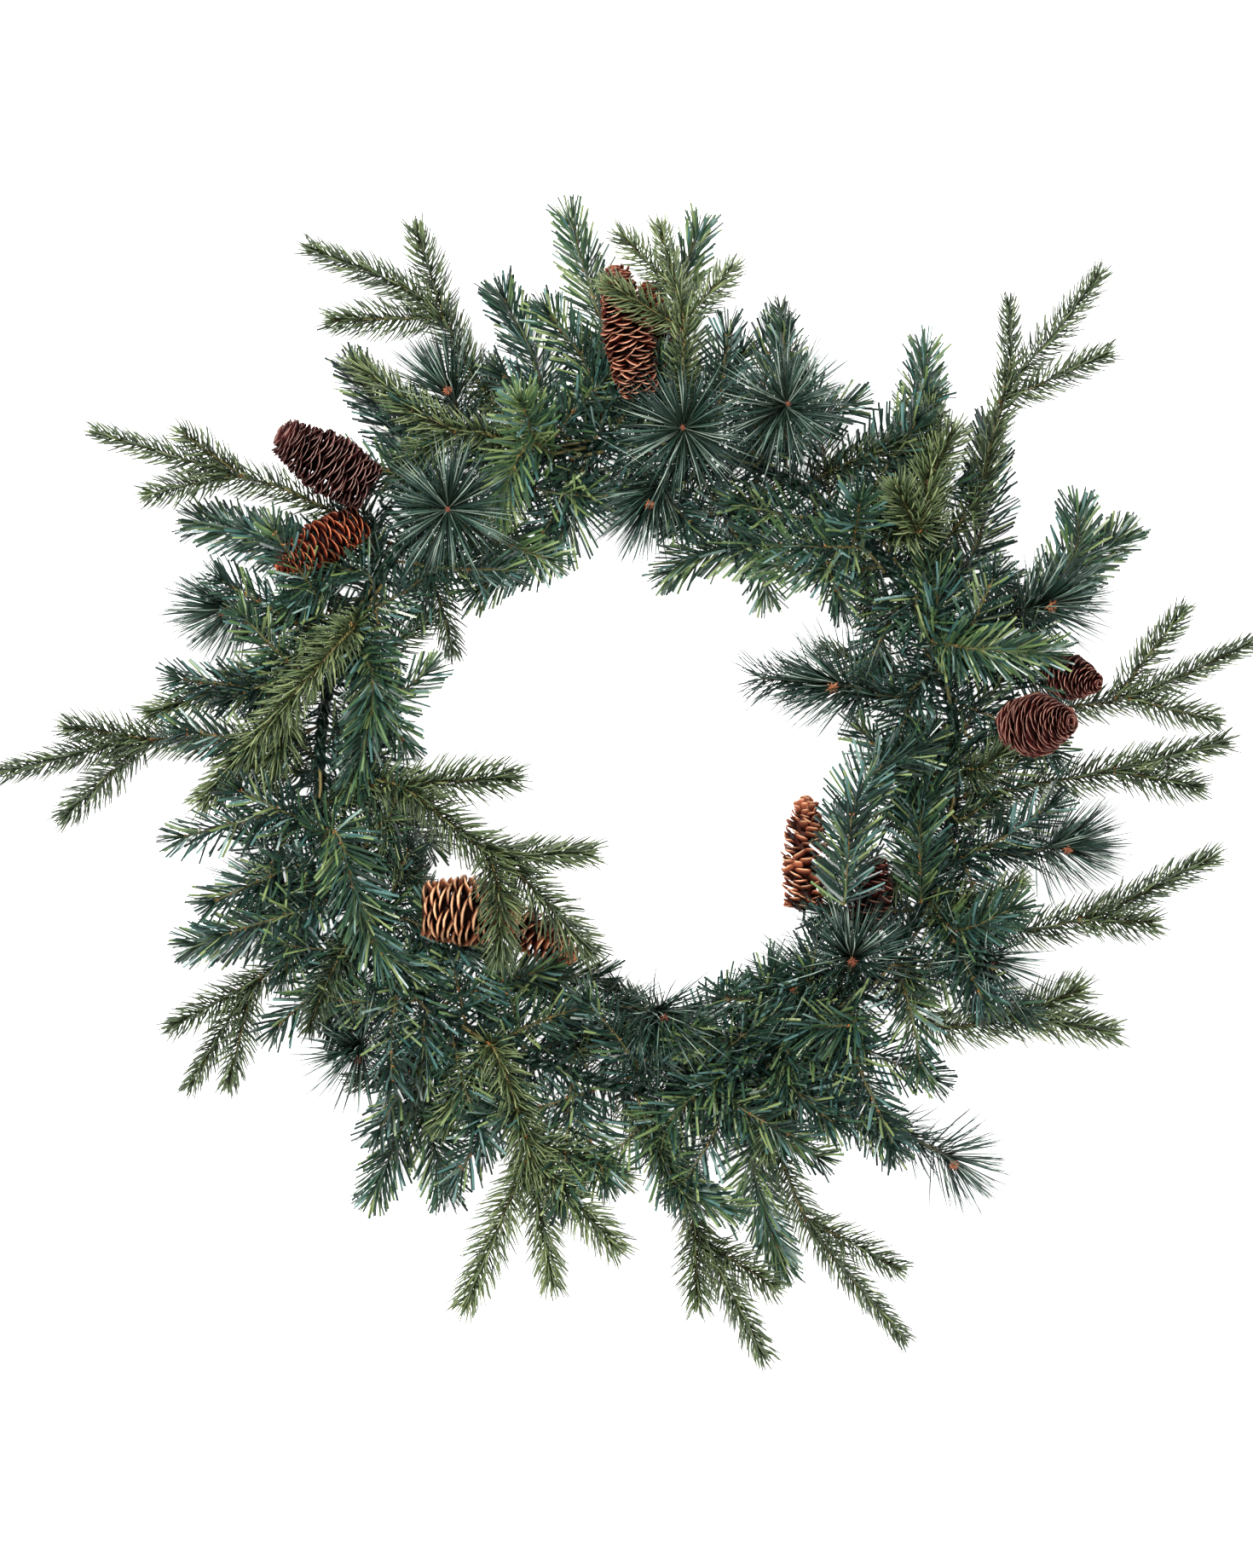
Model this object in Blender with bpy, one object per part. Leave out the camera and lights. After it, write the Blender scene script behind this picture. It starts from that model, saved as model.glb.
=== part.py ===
"""An artificial mixed evergreen garland, closed into a ring and lying on its back.

Three kinds of sprig grow from one wrapped wire core: moulded spruce, cut foil pine and long
needled pine, with pairs of cones on wire stalks. Every sprig and cone is one tube that is
grown face by face, and its needles, strips and scales are pulled out of the tube's own faces.
Lengths are in millimetres until the last step, which scales each mesh to metres. +Z is up.
"""

import math
import random

import bmesh
import bpy
import numpy as np
from mathutils import Matrix, Vector
from mathutils.bvhtree import BVHTree
from mathutils.kdtree import KDTree

MM = 0.001
NAME = "evergreen_garland"

# The core: two twisted wires wrapped in dark foil, bent round until its ends overlap
RING_RADIUS = 281.0
RING_CENTRE = Vector((10.0, 20.0, 0.0))
CORE_HEIGHT = 62.0
CORE_RADIUS = 7.0
CORE_SIDES = 8
CORE_STEP = 9.0
CORE_START = 276.0
CORE_OVERLAP = 18.0
OVERLAP_EASE = 18.0
OVERLAP_OFFSET = 15.2

# The soft wire wound round the overlapping ends
TIE_ANGLE = 282.0
TIE_WIRE_RADIUS = 0.8
TIE_CLEARANCE = 0.9
TIE_TURNS = 2
TIE_PITCH = 3.4
TIE_POINTS = 10

# The longest plain stretch of a stem between two rings
BARE_STEP = 20.0

# How a stalk is wound on: it lies along the core, then leaves it
ROOT_LENGTH = 16.0
ROOT_GAP = 0.4
LEAVE_LENGTH = 12.0
LEAVE_LIFT = 2.5
SAMPLE_SPACING = 3.0
WOUND_GAP = 0.1
FREE_GAP = 0.5
STEM_CLEARANCE = 6.0
CONE_CLEARANCE = 3.4
SPAN_POINTS = 10

# The last stretch of the three lowest sprigs lies flat on the surface
FOOT_LENGTH = 36.0
FOOT_RADIUS = 1.8
FOOT_STEPS = 4
FOOT_EASE = 6.0
FOOT_SHARE = 0.9
FLOOR_MARGIN = 2.5

# A side shoot: its bare start, and how it picks the face that it grows from
SIDE_BARE = 6.0
LOOK_AHEAD = 18.0
NEARNESS = 14.0

SEED = 24


class Kind:
    """The sizes of one kind of sprig."""

    def __init__(self, **sizes):
        self.__dict__.update(sizes)


SPRUCE = Kind(
    title="spruce", radius=1.8, tip_radius=1.2, band=3.2, gap=19.6, bare=12.0,
    length=17.0, spread=2.0, slant=52.0, tip_slant=26.0, blunt=0.0, twist=60.0,
)
FOIL = Kind(
    title="foil_pine", radius=1.8, tip_radius=1.4, band=2.8, gap=19.0, bare=14.0,
    length=39.0, spread=4.0, slant=70.0, tip_slant=38.0, blunt=2.6, twist=60.0,
)
LONG = Kind(
    title="long_pine", radius=1.9, tip_radius=1.9, band=3.8, gap=14.0, bare=30.0,
    length=62.0, spread=8.0, slant=66.0, tip_slant=14.0, blunt=0.0, twist=40.0,
)
# A long needled sprig bears its needles on its last stretch only
WHORL_LENGTH = 31.0
WHORL_BARE = 4.0

# How a needle finds its place
BANDS_SLANT_POWER = 1.5
SLANT_JITTER = 6.0
LEAST_LEAN = 8.0
LEAST_OUT = 0.10
LEAST_SIDE = 0.2
TIP_STRIP = 0.45
TIP_NEEDLE = 0.6
NEEDLE_STEP = 2.0
NEEDLE_ROOT = 4.0
NEEDLE_ROOT_SHARE = 0.3
NEEDLE_PAST = 1.0
NEEDLE_CLEARANCE = 1.3
TIP_CLEARANCE = 0.8
ROOT_CLEARANCE = 1.8
OWN_CLEARANCE = 1.2
OWN_STEM_SLOPE = 0.45
OWN_STEM_ROOM = 3.2

# Each bend that is tried, the smallest first: more lean, turn about the stem, share of length
BENDS = (
    (0, 0, 1.0), (-14, 0, 1.0), (0, 24, 1.0), (0, -24, 1.0), (-14, 24, 1.0), (-14, -24, 1.0),
    (-28, 0, 1.0), (12, 0, 1.0), (-28, 36, 0.95), (-28, -36, 0.95), (0, 46, 0.9), (0, -46, 0.9),
    (-40, 0, 0.9), (-20, 60, 0.85), (-20, -60, 0.85), (-40, 60, 0.8), (-40, -60, 0.8),
    (0, 0, 0.7), (-28, 0, 0.7), (-28, 40, 0.6), (-28, -40, 0.6), (-40, 0, 0.5), (0, 0, 0.5),
)

# Each change of place that a sprig may try: round the core, about its section, and upwards
SHIFTS = (0, 3, -3, 6, -6, 9, -9, 12, -12)
CLOCK_TURNS = (0, 45, -45, 90, -90)
LIFTS = (0, 7, -7, 14, -14, 21, -21, 28, 35, -28)
SHIFT_UNIT, CLOCK_UNIT, LIFT_UNIT = 3.0, 45.0, 7.0

# Each sprig: its kind, its name, its place round the core in degrees, and its arms.
# An arm is a list of points (x, y, z); a side shoot starts near its first point.
SPRIGS = (
    (FOIL, "foil_pine_left_high", 150, (
        ([(-222, 92, 92), (-238, 2, 86)], []),
        ([(-243, 190, 70), (-296, 157, 78)], [[(-250, 186, 70), (-310, 212, 30), (-379, 234, 0)]]),
    )),
    (FOIL, "foil_pine_right_high", 21, (
        ([(262, 140, 78), (266, 225, 66)], []),
        ([(330, 140, 46), (379, 172, 24), (442, 221, 0)],
         [[(372, 165, 30), (398, 205, 44), (401, 240, 46)]]),
    )),
    (FOIL, "foil_pine_bottom", 290, (
        ([(30, -320, 76), (49, -353, 80), (86, -372, 84)], []),
        ([(112, -330, 40), (125, -385, 10), (139, -428, 0)], []),
    )),
    (SPRUCE, "spruce_left_upper", 146, (
        ([(-296, 258, 58), (-345, 273, 58), (-467, 311, 44)],
         [[(-340, 272, 58), (-390, 308, 78)], [(-352, 273, 58), (-424, 258, 34)]]),
    )),
    (SPRUCE, "spruce_left_middle", 177, (
        ([(-364, 37, 58), (-422, 39, 58), (-551, 11, 42)],
         [[(-418, 39, 58), (-490, 50, 78)], [(-426, 38, 58), (-496, -27, 50)]]),
    )),
    (SPRUCE, "spruce_left_front", 147, (
        ([(-246, 129, 104), (-306, 62, 108), (-372, -14, 84)],
         [[(-292, 80, 106), (-314, 1, 70)], [(-240, 140, 96), (-320, 98, 66), (-418, 63, 62)]]),
    )),
    (SPRUCE, "spruce_inner_left", 183, (
        ([(-221, 3, 92), (-196, -3, 106), (-117, -58, 130), (-35, -60, 116)],
         [[(-200, -1, 104), (-101, 6, 114)], [(-122, -52, 128), (-109, -100, 152), (-109, -149, 156)],
          [(-110, -60, 128), (-68, -106, 132), (-32, -146, 122)], [(-222, 0, 90), (-192, -84, 74)]]),
    )),
    (SPRUCE, "spruce_left_lower", 209, (
        ([(-289, -150, 58), (-321, -169, 60), (-386, -265, 46)],
         [[(-322, -170, 60), (-398, -213, 76)], [(-332, -184, 58), (-350, -261, 74)]]),
    )),
    (SPRUCE, "spruce_bottom_left", 238, (
        ([(-118, -230, 86), (-101, -270, 92), (-87, -318, 92), (-66, -439, 62)],
         [[(-90, -310, 92), (-5, -345, 76)], [(-86, -324, 92), (-10, -403, 108)],
          [(-88, -330, 92), (-140, -454, 90)], [(-120, -228, 84), (-164, -300, 72)]]),
    )),
    (SPRUCE, "spruce_bottom", 272, (
        ([(49, -338, 48), (62, -393, 50), (92, -450, 50), (120, -504, 42)],
         [[(60, -388, 50), (63, -456, 74)], [(70, -406, 50), (128, -441, 76)]]),
        ([(66, -290, 40), (101, -300, 44)], []),
    )),
    (SPRUCE, "spruce_bottom_right", 294, (
        ([(139, -338, 62), (162, -389, 60), (244, -489, 44)], [[(158, -384, 60), (238, -426, 76)]]),
    )),
    (SPRUCE, "spruce_right_upper", 8, (
        ([(386, 67, 56), (438, 75, 56), (551, 123, 42)],
         [[(432, 74, 56), (490, 151, 62)], [(444, 76, 56), (516, 57, 74)]]),
    )),
    (SPRUCE, "spruce_right_middle", 354, (
        ([(330, -8, 62), (424, 11, 62), (527, 36, 42)], [[(430, 12, 62), (500, -2, 74)]]),
        ([(312, 14, 92), (332, 32, 98)], []),
    )),
    (SPRUCE, "spruce_right_lower", 333, (
        ([(330, -128, 54), (403, -119, 54), (518, -66, 42)], [[(400, -120, 54), (462, -122, 70)]]),
    )),
    (SPRUCE, "spruce_right_low", 318, (
        ([(266, -210, 58), (349, -207, 58), (428, -219, 44)], [[(340, -208, 58), (398, -182, 72)]]),
    )),
    (SPRUCE, "spruce_top", 84, (
        ([(49, 345, 108), (50, 402, 124), (30, 486, 96)],
         [[(50, 396, 124), (-16, 433, 150)], [(50, 404, 122), (92, 451, 96)],
          [(45, 428, 116), (-3, 480, 92)]]),
    )),
    (SPRUCE, "spruce_top_right_small", 66, (
        ([(144, 350, 66), (136, 418, 58)], []),
    )),
    (SPRUCE, "spruce_right_front", 38, (
        ([(258, 228, 106), (264, 280, 110), (266, 333, 96)],
         [[(256, 220, 104), (235, 258, 132)], [(262, 262, 110), (284, 305, 124)]]),
    )),
    (SPRUCE, "spruce_top_right", 42, (
        ([(304, 244, 70), (322, 303, 70), (338, 365, 68), (339, 423, 46)],
         [[(332, 348, 68), (380, 400, 46), (419, 451, 40)],
          [(328, 336, 68), (372, 356, 70), (422, 379, 66)]]),
    )),
    (SPRUCE, "spruce_top_left", 113, (
        ([(-139, 367, 66), (-170, 420, 62), (-278, 475, 42)],
         [[(-158, 402, 62), (-185, 488, 56)], [(-166, 412, 62), (-257, 408, 78)]]),
    )),
    (SPRUCE, "spruce_upper_left", 116, (
        ([(-118, 306, 84), (-154, 312, 86), (-240, 372, 66)], [[(-150, 310, 84), (-206, 274, 62)]]),
    )),
    (FOIL, "foil_pine_inner_left", 190, (
        ([(-256, -40, 86), (-236, -98, 88), (-212, -150, 78), (-172, -162, 66)], []),
    )),
    (FOIL, "foil_pine_lower_left", 206, (
        ([(-262, -170, 44), (-252, -223, 40)], []),
        ([(-310, -125, 46), (-382, -143, 38)], []),
    )),
    (FOIL, "foil_pine_olive", 226, (
        ([(-180, -215, 76), (-169, -255, 70)], []),
    )),
    (FOIL, "foil_pine_bottom_left", 235, (
        ([(-110, -178, 50), (-26, -173, 48)], []),
        ([(-178, -250, 42), (-223, -361, 38)], [[(-186, -268, 40), (-161, -357, 38)]]),
    )),
    (FOIL, "foil_pine_bottom_right", 312, (
        ([(204, -204, 88), (150, -215, 86), (76, -233, 72)],
         [[(196, -206, 84), (172, -256, 56), (109, -278, 46)]]),
    )),
    (FOIL, "foil_pine_inner_right", 5, (
        ([(262, -10, 86), (259, -105, 80)], [[(266, 10, 82), (240, 14, 112)]]),
    )),
    (FOIL, "foil_pine_over_cone", 359, (
        ([(244, 26, 112), (206, 0, 134), (188, -105, 146)], []),
    )),
    (FOIL, "foil_pine_right_fan", 331, (
        ([(292, -128, 94), (335, -109, 116)], []),
    )),
    (FOIL, "foil_pine_right_bright", 17, (
        ([(304, 118, 106), (368, 115, 96)], []),
    )),
    (FOIL, "foil_pine_top", 92, (
        ([(-10, 366, 52), (-26, 420, 54), (-50, 498, 44)], []),
        ([(45, 366, 44), (45, 430, 40), (63, 488, 38)], []),
    )),
    (FOIL, "foil_pine_inner_top", 39, (
        ([(190, 208, 84), (64, 202, 74), (40, 187, 70)], [[(200, 212, 84), (203, 246, 124)]]),
    )),
    (FOIL, "foil_pine_top_right", 46, (
        ([(252, 270, 76), (258, 320, 70), (264, 379, 52)], []),
    )),
    (FOIL, "foil_pine_right_dark", 33, (
        ([(306, 202, 52), (322, 311, 46)], []),
    )),
    (FOIL, "foil_pine_top_left_dark", 126, (
        ([(-196, 300, 42), (-242, 367, 38)], []),
    )),
    (FOIL, "foil_pine_top_middle", 101, (
        ([(-78, 366, 46), (-109, 431, 40)], []),
        ([(-34, 366, 74), (-68, 412, 88)], []),
    )),
    (FOIL, "foil_pine_bright_front", 104, (
        ([(-86, 296, 104), (-112, 240, 116)], [[(-80, 300, 102), (-91, 330, 140)]]),
    )),
    (FOIL, "foil_pine_inner_top_left", 98, (
        ([(-44, 240, 66), (-131, 172, 62)], []),
    )),
    (LONG, "long_pine_left", 155, (
        ([(-296, 157, 62), (-355, 155, 62)], []),
    )),
    (LONG, "long_pine_lower_left", 213, (
        ([(-226, -190, 62), (-236, -238, 62)], []),
        ([(-276, -98, 40), (-318, -94, 36)], []),
    )),
    (LONG, "long_pine_bottom", 246, (
        ([(-40, -222, 62), (14, -231, 58)], [[(-76, -214, 66), (-20, -196, 82), (34, -200, 84)]]),
    )),
    (LONG, "long_pine_inner_right", 12, (
        ([(236, 76, 92), (188, 87, 98), (118, 93, 92)], []),
    )),
    (LONG, "long_pine_low_right", 314, (
        ([(188, -170, 78), (146, -177, 78)], [[(196, -168, 80), (196, -150, 116)]]),
    )),
    (LONG, "long_pine_right_lower", 338, (
        ([(334, -62, 70), (388, -53, 66)], []),
        ([(290, -136, 70), (320, -156, 74)], []),
    )),
    (LONG, "long_pine_right_upper", 24, (
        ([(345, 150, 72), (392, 167, 70)], []),
    )),
    (LONG, "long_pine_bottom_right", 303, (
        ([(206, -285, 56), (289, -332, 48)], []),
    )),
    (LONG, "long_pine_top_front", 75, (
        ([(118, 312, 94), (140, 330, 132)], []),
        ([(60, 305, 100), (49, 309, 138)], [[(62, 300, 100), (36, 270, 112), (20, 248, 112)]]),
    )),
    (LONG, "long_pine_upper_left", 122, (
        ([(-155, 246, 92), (-155, 238, 134)], []),
        ([(-142, 302, 62), (-157, 350, 62)], []),
    )),
)

# Each cone: its name, its place round the core, its base, its tip, its radius, how far the
# scales stand out, and a point that its stalk passes
CONES = (
    ("cone_left_large", 140, (-223, 257, 122), (-300, 303, 126), 27.0, 4.0, (-215, 245, 92)),
    ("cone_left_slim", 146, (-232, 232, 88), (-304, 190, 96), 19.0, 3.5, (-222, 222, 78)),
    ("cone_inner_large", 222, (-178, -110, 112), (-98, -112, 112), 31.0, 5.0, (-205, -120, 92)),
    ("cone_inner_small", 229, (-102, -118, 76), (-46, -154, 70), 21.0, 4.0, (-140, -140, 66)),
    ("cone_lower_right_open", 330, (156, -110, 92), (157, -14, 98), 23.0, 7.0, (186, -132, 84)),
    ("cone_lower_right_dark", 334, (207, -128, 92), (222, -66, 88), 20.0, 4.0, (222, -138, 82)),
    ("cone_right_large", 7, (338, 50, 96), (384, 54, 138), 27.0, 4.0, (318, 48, 86)),
    ("cone_right_dark", 13, (374, 98, 66), (412, 88, 104), 19.0, 4.0, (330, 96, 62)),
    ("cone_top_long", 88, (12, 340, 108), (-10, 449, 112), 22.5, 4.0, (14, 322, 96)),
    ("cone_top_back", 83, (32, 346, 62), (18, 440, 64), 20.0, 4.0, (34, 330, 60)),
)
CONE_SIDES = 7
CONE_ROWS = 7
CONE_STALK_RADIUS = 2.2
CONE_STALK_END = 5.0
CONE_STALK_STEP = 30.0
CONE_CAP = 3.0

# A cone's outline as shares of its radius and of its length
CONE_BASE = 0.55
CONE_FULL_AT = 0.64
CONE_TAPER_FROM = 0.40
CONE_TAPER = 1.6

# A scale's tip: how much less it stands out at the cone's tip, and its lean along the cone
SCALE_SHRINK = 0.5
SCALE_LEAN = 0.42

# Colours are linear; roughness follows each plastic
COLOURS = {
    "core_foil": (0.012, 0.030, 0.018, 0.55),
    "tie_wire": (0.02, 0.05, 0.03, 0.40),
    "spruce": (0.085, 0.135, 0.045, 0.60),
    "foil_pine": (0.035, 0.110, 0.060, 0.45),
    "long_pine": (0.020, 0.075, 0.060, 0.50),
    "cone": (0.150, 0.055, 0.030, 0.75),
}


def clear_scene():
    for obj in list(bpy.data.objects):
        bpy.data.objects.remove(obj, do_unlink=True)
    for mesh in list(bpy.data.meshes):
        bpy.data.meshes.remove(mesh)


def make_material(name):
    red, green, blue, roughness = COLOURS[name]
    material = bpy.data.materials.new(name)
    material.use_nodes = True
    shader = material.node_tree.nodes["Principled BSDF"]
    shader.inputs["Base Color"].default_value = (red, green, blue, 1.0)
    shader.inputs["Roughness"].default_value = roughness
    material.diffuse_color = (red, green, blue, 1.0)
    return material


def direction_at(angle):
    """The outward direction of the ring at an angle in degrees."""
    turn = math.radians(angle)
    return Vector((math.cos(turn), math.sin(turn), 0.0))


def core_corner(index):
    """One corner of the core's centreline; the last few ease out beside the first."""
    angle = CORE_START + index * CORE_STEP
    past = angle - (CORE_START + 360.0 - OVERLAP_EASE)
    share = min(max(past / OVERLAP_EASE, 0.0), 1.0)
    offset = OVERLAP_OFFSET * share * share * (3.0 - 2.0 * share)
    point = RING_CENTRE + direction_at(angle) * (RING_RADIUS + offset)
    point.z = CORE_HEIGHT
    return point


CORE_CORNERS = [core_corner(i) for i in range(int((360.0 + CORE_OVERLAP) / CORE_STEP) + 1)]


def core_point(angle):
    """The centreline at an angle, on the straight run between two corners."""
    steps = ((angle - CORE_START) % 360.0) / CORE_STEP
    index = int(steps)
    return CORE_CORNERS[index].lerp(CORE_CORNERS[index + 1], steps - index)


def seat(angle, clock, radius):
    """A stalk's centre where it lies on the core, clock degrees round its section from the top."""
    flat = CORE_RADIUS * math.cos(math.pi / CORE_SIDES)
    turn = math.radians(clock)
    away = direction_at(angle) * math.sin(turn) + Vector((0, 0, 1)) * math.cos(turn)
    return core_point(angle) + away * (flat + radius + ROOT_GAP), away


def smooth_line(points):
    """A dense line through the points, with no overshoot between them."""
    points = [np.array(p, float) for p in points]
    spans = [b - a for a, b in zip(points, points[1:])]
    units = [s / np.linalg.norm(s) for s in spans]
    slopes = [units[0]] + [a + b for a, b in zip(units, units[1:])] + [units[-1]]
    slopes = [s / np.linalg.norm(s) for s in slopes]
    line = [points[0]]
    for i, span in enumerate(spans):
        reach = np.linalg.norm(span)
        for k in range(1, SPAN_POINTS + 1):
            t = k / SPAN_POINTS
            a, b = 2 * t**3 - 3 * t**2 + 1, t**3 - 2 * t**2 + t
            c, d = -2 * t**3 + 3 * t**2, t**3 - t**2
            line.append(
                a * points[i] + b * reach * slopes[i]
                + c * points[i + 1] + d * reach * slopes[i + 1]
            )
    return np.array(line)


class Route:
    """A smooth line that is read by the distance along it."""

    def __init__(self, points):
        self.line = smooth_line(points)
        steps = np.linalg.norm(np.diff(self.line, axis=0), axis=1)
        self.travel = np.concatenate([[0.0], np.cumsum(steps)])
        self.length = float(self.travel[-1])

    def point(self, distance):
        return Vector([np.interp(distance, self.travel, self.line[:, k]) for k in range(3)])

    def along(self, distance, reach=2.0):
        ahead = self.point(min(distance + reach, self.length))
        behind = self.point(max(distance - reach, 0.0))
        return (ahead - behind).normalized()


class Plan:
    """Where one sprig or cone stands: its seat on the core and the routes of its arms."""

    def __init__(self, angle, clock, radius, arms, lift=0.0):
        half = math.degrees(ROOT_LENGTH / 2 / RING_RADIUS)
        low, self.away = seat(angle - half, clock, radius)
        high, _ = seat(angle + half, clock, radius)
        self.ends = (low, high)
        along = (high - low).normalized()
        middle = (low + high) / 2
        headings = [(Vector(arm[0][0]) - middle).dot(along) for arm in arms]
        if len(arms) == 1:
            forward = [headings[0] > 0]
        else:
            forward = [headings[0] > headings[1], headings[0] <= headings[1]]
        self.arms = []
        for (points, shoots), ahead in zip(arms, forward):
            start, end = (low, high) if ahead else (high, low)
            out = (end - start).normalized()
            leave = end + out * LEAVE_LENGTH + self.away * LEAVE_LIFT
            raised = [raise_point(p, lift) for p in points]
            main = Route([start, end, leave, *raised])
            sides = [[raise_point(p, lift) for p in shoot] for shoot in shoots]
            self.arms.append((main, ahead, [Route(s) for s in sides]))

    def samples(self):
        """Points along the stems: those on the core first, then the free ones."""
        wound, free = [], []
        for main, _, sides in self.arms:
            places = np.linspace(0.0, main.length, int(main.length / SAMPLE_SPACING) + 2)
            wound += [main.point(d) for d in places if d <= ROOT_LENGTH + LEAVE_LENGTH / 2]
            free += [main.point(d) for d in places if d > ROOT_LENGTH + LEAVE_LENGTH / 2]
            for side in sides:
                places = np.linspace(0.0, side.length, int(side.length / SAMPLE_SPACING) + 2)
                free += [side.point(d) for d in places]
        return wound, free


def raise_point(point, lift):
    """Lifts a point, but leaves one that lies on the surface."""
    x, y, z = point
    return Vector((x, y, z + lift if z > 0 else z))


def clock_towards(angle, arms):
    """The side of the core that faces the arms, to the nearest eighth of a turn."""
    base = core_point(angle)
    heading = Vector((0, 0, 0))
    for points, _ in arms:
        heading += (Vector(points[0]) - base).normalized()
    clock = math.degrees(math.atan2(heading.dot(direction_at(angle)), heading.z))
    return CLOCK_UNIT * round(clock / CLOCK_UNIT)


def cone_radius(share, radius):
    """A cone's outline: full near the base, widest just below its middle, small at the tip."""
    swell = math.sin(math.pi / 2 * min(share / CONE_FULL_AT, 1.0))
    taper = max(share - CONE_TAPER_FROM, 0.0) ** 1.5
    return radius * (CONE_BASE + (1.0 - CONE_BASE) * swell - CONE_TAPER * taper)


class Crowd:
    """Everything that has its place already, so that the next thing can keep clear of it."""

    def __init__(self):
        self.stems = []
        self.cones = []
        self.core = []
        for a, b in zip(CORE_CORNERS, CORE_CORNERS[1:]):
            self.core += [a.lerp(b, k / 12) for k in range(12)]
        self.core.append(CORE_CORNERS[-1])
        self.core_tree = tree_of(self.core)
        self.stem_tree = None

    def add_stem(self, samples):
        self.stems += samples
        self.stem_tree = tree_of(self.stems)

    def add_cone(self, base, tip, radius, stand):
        self.cones.append((base, tip, radius + stand))

    def room(self, wound, free, radius):
        """How far the samples stay beyond what they must keep clear of: below 0 is too near."""
        least = math.inf
        flat = CORE_RADIUS * math.cos(math.pi / CORE_SIDES)
        for i, p in enumerate(wound + free):
            near_core = (flat + WOUND_GAP if i < len(wound) else CORE_RADIUS + FREE_GAP) + radius
            least = min(least, self.core_tree.find(p)[2] - near_core)
            if self.stem_tree:
                least = min(least, self.stem_tree.find(p)[2] - STEM_CLEARANCE)
            for base, tip, width in self.cones:
                axis = tip - base
                share = min(max((p - base).dot(axis) / axis.length_squared, 0.0), 1.0)
                away = (p - base - axis * share).length
                least = min(least, away - cone_radius(share, width) - CONE_CLEARANCE)
            if least < 0:
                return least
        return least


def tree_of(points):
    tree = KDTree(len(points))
    for i, p in enumerate(points):
        tree.insert(p, i)
    tree.balance()
    return tree


def tries():
    """Every change of place that is tried, the smallest first."""
    found = []
    for shift in SHIFTS:
        for turn in CLOCK_TURNS:
            for lift in LIFTS:
                cost = abs(shift) / SHIFT_UNIT + abs(turn) / CLOCK_UNIT + abs(lift) / LIFT_UNIT
                found.append((cost, abs(lift), shift, turn, lift))
    found.sort(key=lambda row: row[:2])
    return [row[2:] for row in found]


def settle(crowd, angle, arms, radius, fixed_lift=False):
    """The first place near the wanted one that is clear of everything placed before."""
    clock = clock_towards(angle, arms)
    best = None
    for shift, turn, lift in tries():
        if fixed_lift and lift:
            continue
        plan = Plan(angle + shift, clock + turn, radius, arms, lift)
        wound, free = plan.samples()
        room = crowd.room(wound, free, radius)
        if best is None or room > best[0]:
            best = (room, plan)
        if room >= 0:
            return plan
    print(f"no clear place near {angle} degrees, {best[0]:.1f} mm short")
    return best[1]


def place_ring(face, centre, along, radius, turn, first=None):
    """Moves an end face's corners onto a regular ring round the centre."""
    corners = list(face.verts)
    if first is None:
        first = corners[0].co - face.calc_center_median()
    first = (first - along * first.dot(along)).normalized()
    side = along.cross(first)
    for k, corner in enumerate(corners):
        angle = turn + 2 * math.pi * k / len(corners)
        corner.co = centre + (first * math.cos(angle) + side * math.sin(angle)) * radius


def grow(bm, end, centre, along, radius, turn=0.0, first=None):
    """Extrudes the end face to a new ring, and returns it with the side faces it leaves."""
    end = bmesh.ops.extrude_discrete_faces(bm, faces=[end])["faces"][0]
    place_ring(end, centre, along, radius, turn, first)
    sides = [f for edge in end.edges for f in edge.link_faces if f is not end]
    return end, sides


def start_tube(bm, low, high, radius, sides, first):
    """The short prism that lies along the core, and its two end faces."""
    along = (high - low).normalized()
    made = bmesh.ops.create_cone(
        bm, cap_ends=True, cap_tris=False, segments=sides, radius1=radius, radius2=radius,
        depth=(high - low).length,
    )["verts"]
    faces = {f for v in made for f in v.link_faces}
    caps = [f for f in faces if len({round(v.co.z, 3) for v in f.verts}) == 1]
    top = max(caps, key=lambda f: f.calc_center_median().z)
    bottom = min(caps, key=lambda f: f.calc_center_median().z)
    place_ring(top, high, along, radius, 0.0, first)
    for corner in top.verts:
        for edge in corner.link_edges:
            other = edge.other_vert(corner)
            if other in bottom.verts:
                other.co = corner.co + (low - high)
    return top, bottom


class Facet:
    """A side face that a needle may be pulled from."""

    def __init__(self, face, along, share):
        self.face = face
        self.along = along
        self.share = share


def is_foot(route):
    return route.line[-1][2] < 0.5


def foot_centre(point):
    """A point of a stem that lies on the surface with one flat side down."""
    return Vector((point.x, point.y, FOOT_RADIUS / 2))


def lay_foot(bm, end, route, facets):
    """The last stretch of a low sprig: one side of the stem is flat on the surface."""
    start = route.length - FOOT_LENGTH
    for k in range(FOOT_STEPS + 1):
        distance = start + FOOT_LENGTH * k / FOOT_STEPS
        along = route.along(distance, FOOT_EASE)
        along = Vector((along.x, along.y, 0.0)).normalized()
        centre = foot_centre(route.point(distance))
        end, sides = grow(bm, end, centre, along, FOOT_RADIUS, 0.0, Vector((0, 0, 1)))
        for corner in end.verts:
            corner.co.z = max(corner.co.z, 0.0)
        if k % 2:
            for face in sides:
                face.normal_update()
                if face.normal.z > LEAST_OUT:
                    facets.append(Facet(face, along, FOOT_SHARE))
    return end


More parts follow.
